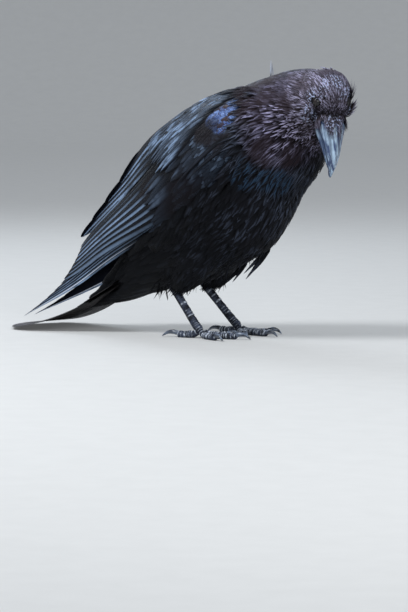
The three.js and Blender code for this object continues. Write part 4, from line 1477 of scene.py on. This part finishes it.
def make_bill():
    """Bill: the solids' own lofts with a keeled ridge, flattened sides, a sharp cutting edge and a
    shallow groove. Its root is flared out to the gape, and the mesh's edge value paints shade on the
    sides' lower part and on a line beside the ridge."""
    turn = (0, radians(90 - HEAD_NOD), radians(-HEAD_TURN))
    for name, rows, last, ridge, broad in (("upper", BILL_UPPER, 0.06, 1.5, 1.0),
                                           ("lower", BILL_LOWER, 0.08, -0.2, 1.14)):
        flared = [(at, (wide * broad + flare, above, below))
                  for (at, (wide, above, below)), flare in zip(rows, BILL_FLARE)]
        surface = head_loft(flared, 0.16, last)
        u, v = grid(1 - (1 - np.linspace(0, 1, 90)) ** 1.4, turns(64))
        fade = rounding(u, 0, 0.3)
        off = np.abs((v + pi) % tau - pi)
        keel = ridge * (bell(off, 0, 0.25) - 0.8 * bell(off, 0.8, 0.32))
        groove = -0.45 * bell(off, 1.15, 0.16) * ease(1 - u, 0.35, 0.8)
        edge = 0.35 * bell(off, 1.95, 0.14)
        growth = 0.06 * np.sin(u * 70 + 2 * np.cos(off * 3))
        # Painted shade on the bill's lower sides and on a line beside the ridge.
        painted_shade = ease(off, 1.05, 1.75) * 0.8 + 0.55 * bell(off, 0.62, 0.17) * ease(1 - u, 0.1, 0.4)
        points, quads, tris = tube(surface.raised(u, v, (keel + groove + edge + growth) * fade))
        values = {"edge": np.concatenate([np.clip(painted_shade, 0, 1).ravel(), [0, 0]])}
        piece = build(f"bill_{name}_horn", points, quads, tris, values=values)
        # Blue base and pale streaks: painted reflection of a pale sky on the horn.
        dress(piece, "horn", horn(f"{name}_bill", (0.034, 0.068, 0.185), (0.60, 0.80, 1.0), turn),
              f"bill_{name}")


BRISTLE = dict(point=0.9, shoulder=0.2, ragged=0)


def bill_bristles(vane, spread, oval, part_way, roots, sway, lift, length, sizes, width, low, highs,
                  sweep, curl):
    """Bristles rooted on an oval round the bill's root, (width sin, height cos - drop) at angles
    `spread` from its top. They point along the bill, parted by part_way sin, swayed and lifted at
    random."""
    count = len(spread)
    wide, high, drop = oval
    root = np.stack([random.uniform(*roots, count), wide * np.sin(spread), high * np.cos(spread) - drop], -1)
    heading = np.stack([np.ones(count), part_way * np.sin(spread) + random.normal(0, sway, count),
                        random.normal(*lift, count)], -1) @ HEAD_AXES
    out = np.stack([0 * spread, np.sin(spread), np.cos(spread)], -1) @ HEAD_AXES
    points = loose(vane, on_head(root), heading, out, length * random.uniform(*sizes, count), width, low,
                   random.uniform(*highs, count), thick=0.5, sweep=random.normal(0, sweep, count),
                   curl=random.normal(*curl, count), **BRISTLE)
    return part(points, 0.5 + spread / 6, root[:, 0] / 60)


def make_bristles():
    """Stiff bristles: a tuft that springs from the forehead over the root of the upper bill, more
    along both sides of the root, and short ones round the gape."""
    vane = Vane(5, 3)
    spread = random.normal(0, 0.5, 560).clip(-1.7, 1.7)
    over = bill_bristles(vane, spread, (16, 10.2, 1.2), 0.12, (12, 20), 0.15, (0.03, 0.05),
                         4 + 25 * np.cos(spread) ** 5, (0.5, 1.15), 1.2, -0.2, (0.2, 2.0), 1.5, (-0.4, 0.8))
    spread = random.choice([-1, 1], 260) * random.uniform(1.05, 2.1, 260)
    beside = bill_bristles(vane, spread, (18.5, 11, 1), 0.05, (12, 19), 0.08, (0.0, 0.12),
                           1.0, (9, 19), 1.3, -0.5, (-0.5, 1.0), 1, (-0.6, 0.6))
    way = unit(BILL_WAY + random.normal(0, 0.42, (520, 3)))
    off = np.arccos(np.clip(way @ BILL_WAY, -1, 1))
    way = way[~on_bill(BULB.at(way)) & (off > 0.36) & (off < 0.85)]
    heading = turned(away_to_neck(way), way, random.normal(0, 0.4, len(way)))
    laid = shape_vanes(vane, len(way), random.uniform(4, 8, len(way)), 0.9, -0.8,
                       random.uniform(0.3, 1.1, len(way)), thick=0.4, **BRISTLE)
    polar, turn = BULB.angles(way)
    gape = part(BULB.lay(way, heading, *laid), turn, polar)
    coat("face_bristles", vane, [over, beside, gape],
         plumage("bristle", 4, roughness=0.35, streak=(0.6, 1.0), gloss=0.6,
                 places=face_places("flecked", (27, 3, 9, 0.016), (8, 25, -9, 0.017))))


LOCK = dict(point=0.8, shoulder=0.3, thick=0.3, ragged=0.1)


def make_plume():
    """A pale plume of three feathers that stands up at the nape."""
    vane = Vane(9, 3)
    root = CLOAK.at(np.full(3, 0.835), np.array([-0.02, 0.03, 0.1]))
    heading = np.array([(-0.02, 0.1, 1), (0.02, 0.06, 1), (-0.12, 0.1, 1)])
    nape = loose(vane, root, heading, np.array([(0.4, -1.0, 0)] * 3), np.array([23, 19, 13]),
                 np.array([2.0, 1.4, 1.0]), -2, 0.0, point=0.4, shoulder=0.5, thick=0.3, ragged=0.1,
                 curl=np.array([-1.5, 2, 2]))
    coat("nape_plume", vane, [(nape, np.full((3, 2), 0.9), np.ones(3))],
         plumage("plume", 8, roughness=0.5, pale=0.6))


def make_tufts():
    """Feathers that stand out of the coat: lifted locks on the left brow and cheek, and over the
    crown."""
    vane = Vane(9, 3)
    count = 70
    k = random.random(count)
    root = on_head(np.stack([6 - 12 * k, 22 + 2.5 * k, 4 + random.normal(0, 2.2, count)], -1))
    heading = np.stack([-1 - 0 * k, 0.42 + random.normal(0, 0.12, count),
                        random.normal(0.0, 0.12, count)], -1)
    out = np.stack([0 * k, 1 + 0 * k, 0.3 + 0 * k], -1) @ HEAD_AXES
    brow = loose(vane, root, heading @ HEAD_AXES, out, random.uniform(13, 26, count), 2.6, -1,
                 random.uniform(0.5, 2.0, count), curl=random.uniform(-5, 0, count), **LOCK)
    groups = [(brow, 0.2 + 0.1 * k, 0.8 + 0 * k)]
    way = unit(CROWN_WAY + random.normal(0, 0.55, (320, 3)))
    way = way[(way @ NECK_WAY < 0.96) & (way @ BILL_WAY < 0.4)]
    size = random.uniform(0.7, 1.3, len(way))
    crown = loose(vane, BULB.at(way), turned(away_to_neck(way), way, random.normal(0, 0.25, len(way))),
                  BULB.normal(way), 13 * size, 3.2, -1.5, 0.6 + random.exponential(0.9, len(way)),
                  point=0.7, shoulder=0.4, thick=0.3, ragged=0.2, camber=0.3, curl=-1.5)
    groups.append((crown, *BULB.angles(way)[::-1]))
    count = 80
    way = unit(unit(on_head((10, 24, -5)) - BULB_AT) + random.normal(0, 0.12, (count, 3)))
    heading = away_to_neck(way) + BULB.normal(way) * random.uniform(0.2, 0.6, (count, 1))
    cheek = loose(vane, BULB.at(way), heading, BULB.normal(way), random.uniform(10, 18, count), 2.6, -1,
                  1.0, curl=random.uniform(-5, -1, count), **LOCK)
    groups.append((cheek, *BULB.angles(way)[::-1]))
    coat("tufts", vane, [part(*group) for group in groups],
         plumage("tuft", 8, roughness=0.5, gloss=1.2, even=0.35, streak=(0.4, 1.0)))


def make_eyes():
    """Eyeballs: balls whose poles look out, with a cornea that swells by 0.5 exp(-(a / 0.45)^2) at
    angle a off the pole. The map has the turn round the pole and the share of the way from it."""
    for name, side in SIDES.items():
        off, turn = grid(np.linspace(0.02, pi - 0.02, 48), turns(64))
        reach = EYE_RADIUS - 0.55 + 0.5 * bell(off, 0, 0.45)
        ring = np.stack([np.sin(off) * np.cos(turn), side * np.cos(off), np.sin(off) * np.sin(turn)], -1)
        middle = np.array([EYE_ALONG, side * EYE_OUT, EYE_UP])
        points, quads, tris = tube(on_head(ring * reach[..., None] + middle))
        pairs = np.vstack([np.stack([turn / tau, off / pi], -1).reshape(-1, 2), [[0, 0], [0, 1]]])
        piece = build(f"eyeball_{name}", points, quads, tris, {"OFBake": pairs})
        dress(piece, "eye", eye_finish(), f"eye_{name}")


def plates(u, v, count, height, reach, wear_and_highlight_edge):
    """Overlapping plates of uneven length over a leg's front: height times the share of each plate,
    count u + 0.35 sin(1.9 count u) mod 1, faded out past the angle `reach` from the front. Gives the
    height and how far a place is into the pale edge, worn and painted with highlight, which starts
    near the share given as the last argument."""
    step = u * count + 0.35 * np.sin(u * count * 1.9)
    share = step % 1
    start = wear_and_highlight_edge + 0.12 * np.sin(np.floor(step) * 2.4)
    front = ease(np.cos(v), np.cos(reach), np.cos(reach * 0.6))
    return height * (share**0.7 - 0.5) * front, ease(share, start, start + 0.22) * front


def make_legs():
    """Legs: the solids' own lofts with plates down the front of the shank and over each toe, net
    scales behind, joint creases and flat pads, and curved claws with a keel."""
    for name, side in SIDES.items():
        foot = np.array(FEET[name], float)
        ankle = (foot[0] - ANKLE_BACK, foot[1] - side * ANKLE_INWARD, ANKLE_HEIGHT)
        front = (0.7, 0, 0.7)

        def between(share, height):
            """A place at a share of the way from the foot to the ankle, at a height."""
            return (*(foot + (np.array(ankle[:2]) - foot) * share), height)

        shank = loft([((ankle[0] - 3, ankle[1], ankle[2] + 3), (5, 5.5, 5.5), front),
                      (between(0.86, 56), (4.6, 5.0, 5.4), front),
                      (between(0.5, 36), (4.2, 4.7, 5.2), front),
                      (between(0.16, 17), (5.0, 5.2, 5.2), front),
                      ((foot[0] + 2, foot[1], 7.4), (6.9, 5.8, 5.2), front)], 0.14, 0.2)
        shells, edges, nails = [], [], []

        def add(surface, rows, columns, count, height, reach, wear_and_highlight_edge):
            """A plated shell, with a fine net behind and its underside flat on the floor."""
            u, v = grid(np.linspace(0.004, 0.996, rows), turns(columns))
            lift, edge = plates(u, v, count, height, reach, wear_and_highlight_edge)
            net = 0.12 * np.sin(u * count * 18) * np.cos(v * 9) * (1 - ease(np.cos(v), -0.2, 0.4))
            points, quads, tris = tube(surface.raised(u, v, lift + net))
            points[:, 2] = np.maximum(points[:, 2], 0)
            shells.append((points, quads, tris))
            edges.append(np.concatenate([edge.ravel(), [0, 0]]))

        add(shank, 190, 36, 17, 0.9, 2.3, 0.70)
        for toe, spread, length, girth, claw in TOES:
            heading = radians(FOOT_TURN[name] - side * spread)
            way = np.array([cos(heading), sin(heading)])

            def ring(reach, height, size):
                """A round station at a reach along the toe."""
                return ((*(foot + way * reach), height), (size, size, size), (0, 0, 1))

            pads = [ring(share * length, lift * size * girth, size * girth) for share, lift, size in PADS]
            add(loft(pads, 0.1, 0.12), 110, 28, 3 + length / 6, 0.8, 2.5, 0.5)
            arch = [ring(length - 4, 4.6, 2.6)] + [ring(length + share * claw, height, size)
                                                   for share, height, size in CLAW_ARCH]
            nail = loft(arch, 0.1, 0.06)
            u, v = grid(np.linspace(0.01, 0.99, 30), turns(20))
            keel = 0.25 * bell((v + pi) % tau - pi, 0, 0.4) * rounding(u, 0, 0.4)
            nails.append(tube(nail.raised(u, v, keel - 0.05)))
        leg = build(f"leg_{name}", *joined(shells), values={"edge": np.concatenate(edges)})
        dress(leg, "scale", leg_scale(), f"tarsus_{name}", *(f"toe_{toe[0]}_{name}" for toe in TOES))
        claws = build(f"claws_{name}", *joined(nails))
        # Pale streaks on the dark claws: painted highlight.
        finish = horn(f"claw_{name}", (0.010, 0.013, 0.020), (0.20, 0.25, 0.34),
                      (0, radians(90), radians(-FOOT_TURN[name])), 0.25)
        dress(claws, "claw", finish, *(f"claw_{toe[0]}_{name}" for toe in TOES))


# ---- stage ----
FLOOR_LEVEL, FLOOR_REACH = 6, 9     # metres
SKY, SKY_STRENGTH = (0.86, 0.92, 1.0, 1), 0.44
AIM = (0, 0, 0.18)
LAMPS = (                           # name, place, width in metres, watts, colour
    ("key", (-0.7, -1.2, 1.9), 0.8, 32, (0.93, 0.96, 1.0)),
    ("rim", (-1.3, 1.2, 1.6), 1.0, 12, (0.85, 0.92, 1.0)),
    ("front", (1.7, -1.3, 1.2), 0.8, 13, (0.97, 0.98, 1.0)))


def floor_finish():
    """Pale floor as the camera sees it, by itself or through gloss and glass, and a darker one for
    the light that it throws back."""
    paint = Paint("floor")
    grain = paint.noise(paint.spot(), 30, 4)
    rays = paint.node("ShaderNodeLightPath").outputs
    seen = sum(Number(paint, rays[f"Is {kind} Ray"]) for kind in ("Camera", "Glossy", "Transmission"))
    seen = seen.clipped()
    pale = paint.mix(grain, (0.62, 0.62, 0.605), (0.68, 0.68, 0.665))
    return paint.finish(Base_Color=paint.mix(seen, (0.30, 0.30, 0.30), pale), Roughness=0.8,
                        Emission_Color=paint.mix(seen, (0, 0, 0), (0.08, 0.082, 0.084)),
                        Emission_Strength=1.0)


def make_stage():
    """Pale floor, level for six metres and then rising all round as (r - 6)^2 / 4, and soft lights."""
    rows, columns = 60, 96
    reach, turn = grid(np.linspace(0.1, FLOOR_REACH, rows), turns(columns))
    rise = np.maximum(reach - FLOOR_LEVEL, 0) ** 2 / 4
    rings = np.stack([reach * np.cos(turn), reach * np.sin(turn), rise], -1).reshape(-1, 3)
    points = np.vstack([rings, [0, 0, 0]]) + place((0, 0, 0)) * np.array([0, 0, 1])
    quads, tris = tube_faces(rows, columns)
    faces = quads[:, ::-1].tolist() + tris[:columns, ::-1].tolist()
    mesh = bpy.data.meshes.new("floor")
    mesh.from_pydata(points.tolist(), [], faces)
    mesh.polygons.foreach_set("use_smooth", np.ones(len(mesh.polygons), bool))
    floor = bpy.data.objects.new("floor", mesh)
    bpy.context.scene.collection.objects.link(floor)
    mesh.materials.append(floor_finish())
    world = bpy.data.worlds.new("studio")
    bpy.context.scene.world = world
    world.use_nodes = True
    world.node_tree.nodes["Background"].inputs["Color"].default_value = SKY
    world.node_tree.nodes["Background"].inputs["Strength"].default_value = SKY_STRENGTH
    for name, at, size, power, colour in LAMPS:
        lamp = bpy.data.lights.new(name, "AREA")
        lamp.shape, lamp.size, lamp.energy, lamp.color = "DISK", size, power, colour
        light = bpy.data.objects.new(name, lamp)
        light.location = at
        light.rotation_euler = (Vector(AIM) - Vector(at)).to_track_quat("-Z", "Y").to_euler()
        bpy.context.scene.collection.objects.link(light)


CAMERA_TURN, CAMERA_TILT, CAMERA_FAR = radians(30), radians(5), 4.0
PICTURE_HEIGHT = 0.765              # metres that the picture's long side spans at the bird
PICTURE_MIDDLE = (-0.019, 0.0375)   # where the picture's middle is, right of and above the feet


def make_camera():
    """Camera turned and tilted to look along the bird's front right, on a long lens."""
    right = Vector((cos(CAMERA_TURN), sin(CAMERA_TURN), 0))
    look = Vector((-sin(CAMERA_TURN) * cos(CAMERA_TILT), cos(CAMERA_TURN) * cos(CAMERA_TILT),
                   -sin(CAMERA_TILT)))
    up = right.cross(look)
    middle = Vector(place((0, 0, 0))) + right * PICTURE_MIDDLE[0] + up * PICTURE_MIDDLE[1]
    lens = bpy.data.cameras.new("camera")
    lens.lens = 36 * CAMERA_FAR / PICTURE_HEIGHT
    camera = bpy.data.objects.new("camera", lens)
    camera.location = middle - look * CAMERA_FAR
    camera.rotation_euler = look.to_track_quat("-Z", "Y").to_euler()
    bpy.context.scene.collection.objects.link(camera)
    bpy.context.scene.camera = camera


bpy.context.scene.view_settings.view_transform = "Standard"
make_stage()
make_camera()
make_skin()
make_body_coat()
make_head_coat()
make_thigh_coat()
make_coverts()
make_flight_feathers()
make_tail()
make_tail_coverts()
make_loose_feathers()
make_fringe()
make_bill()
make_bristles()
make_plume()
make_tufts()
make_eyes()
make_legs()
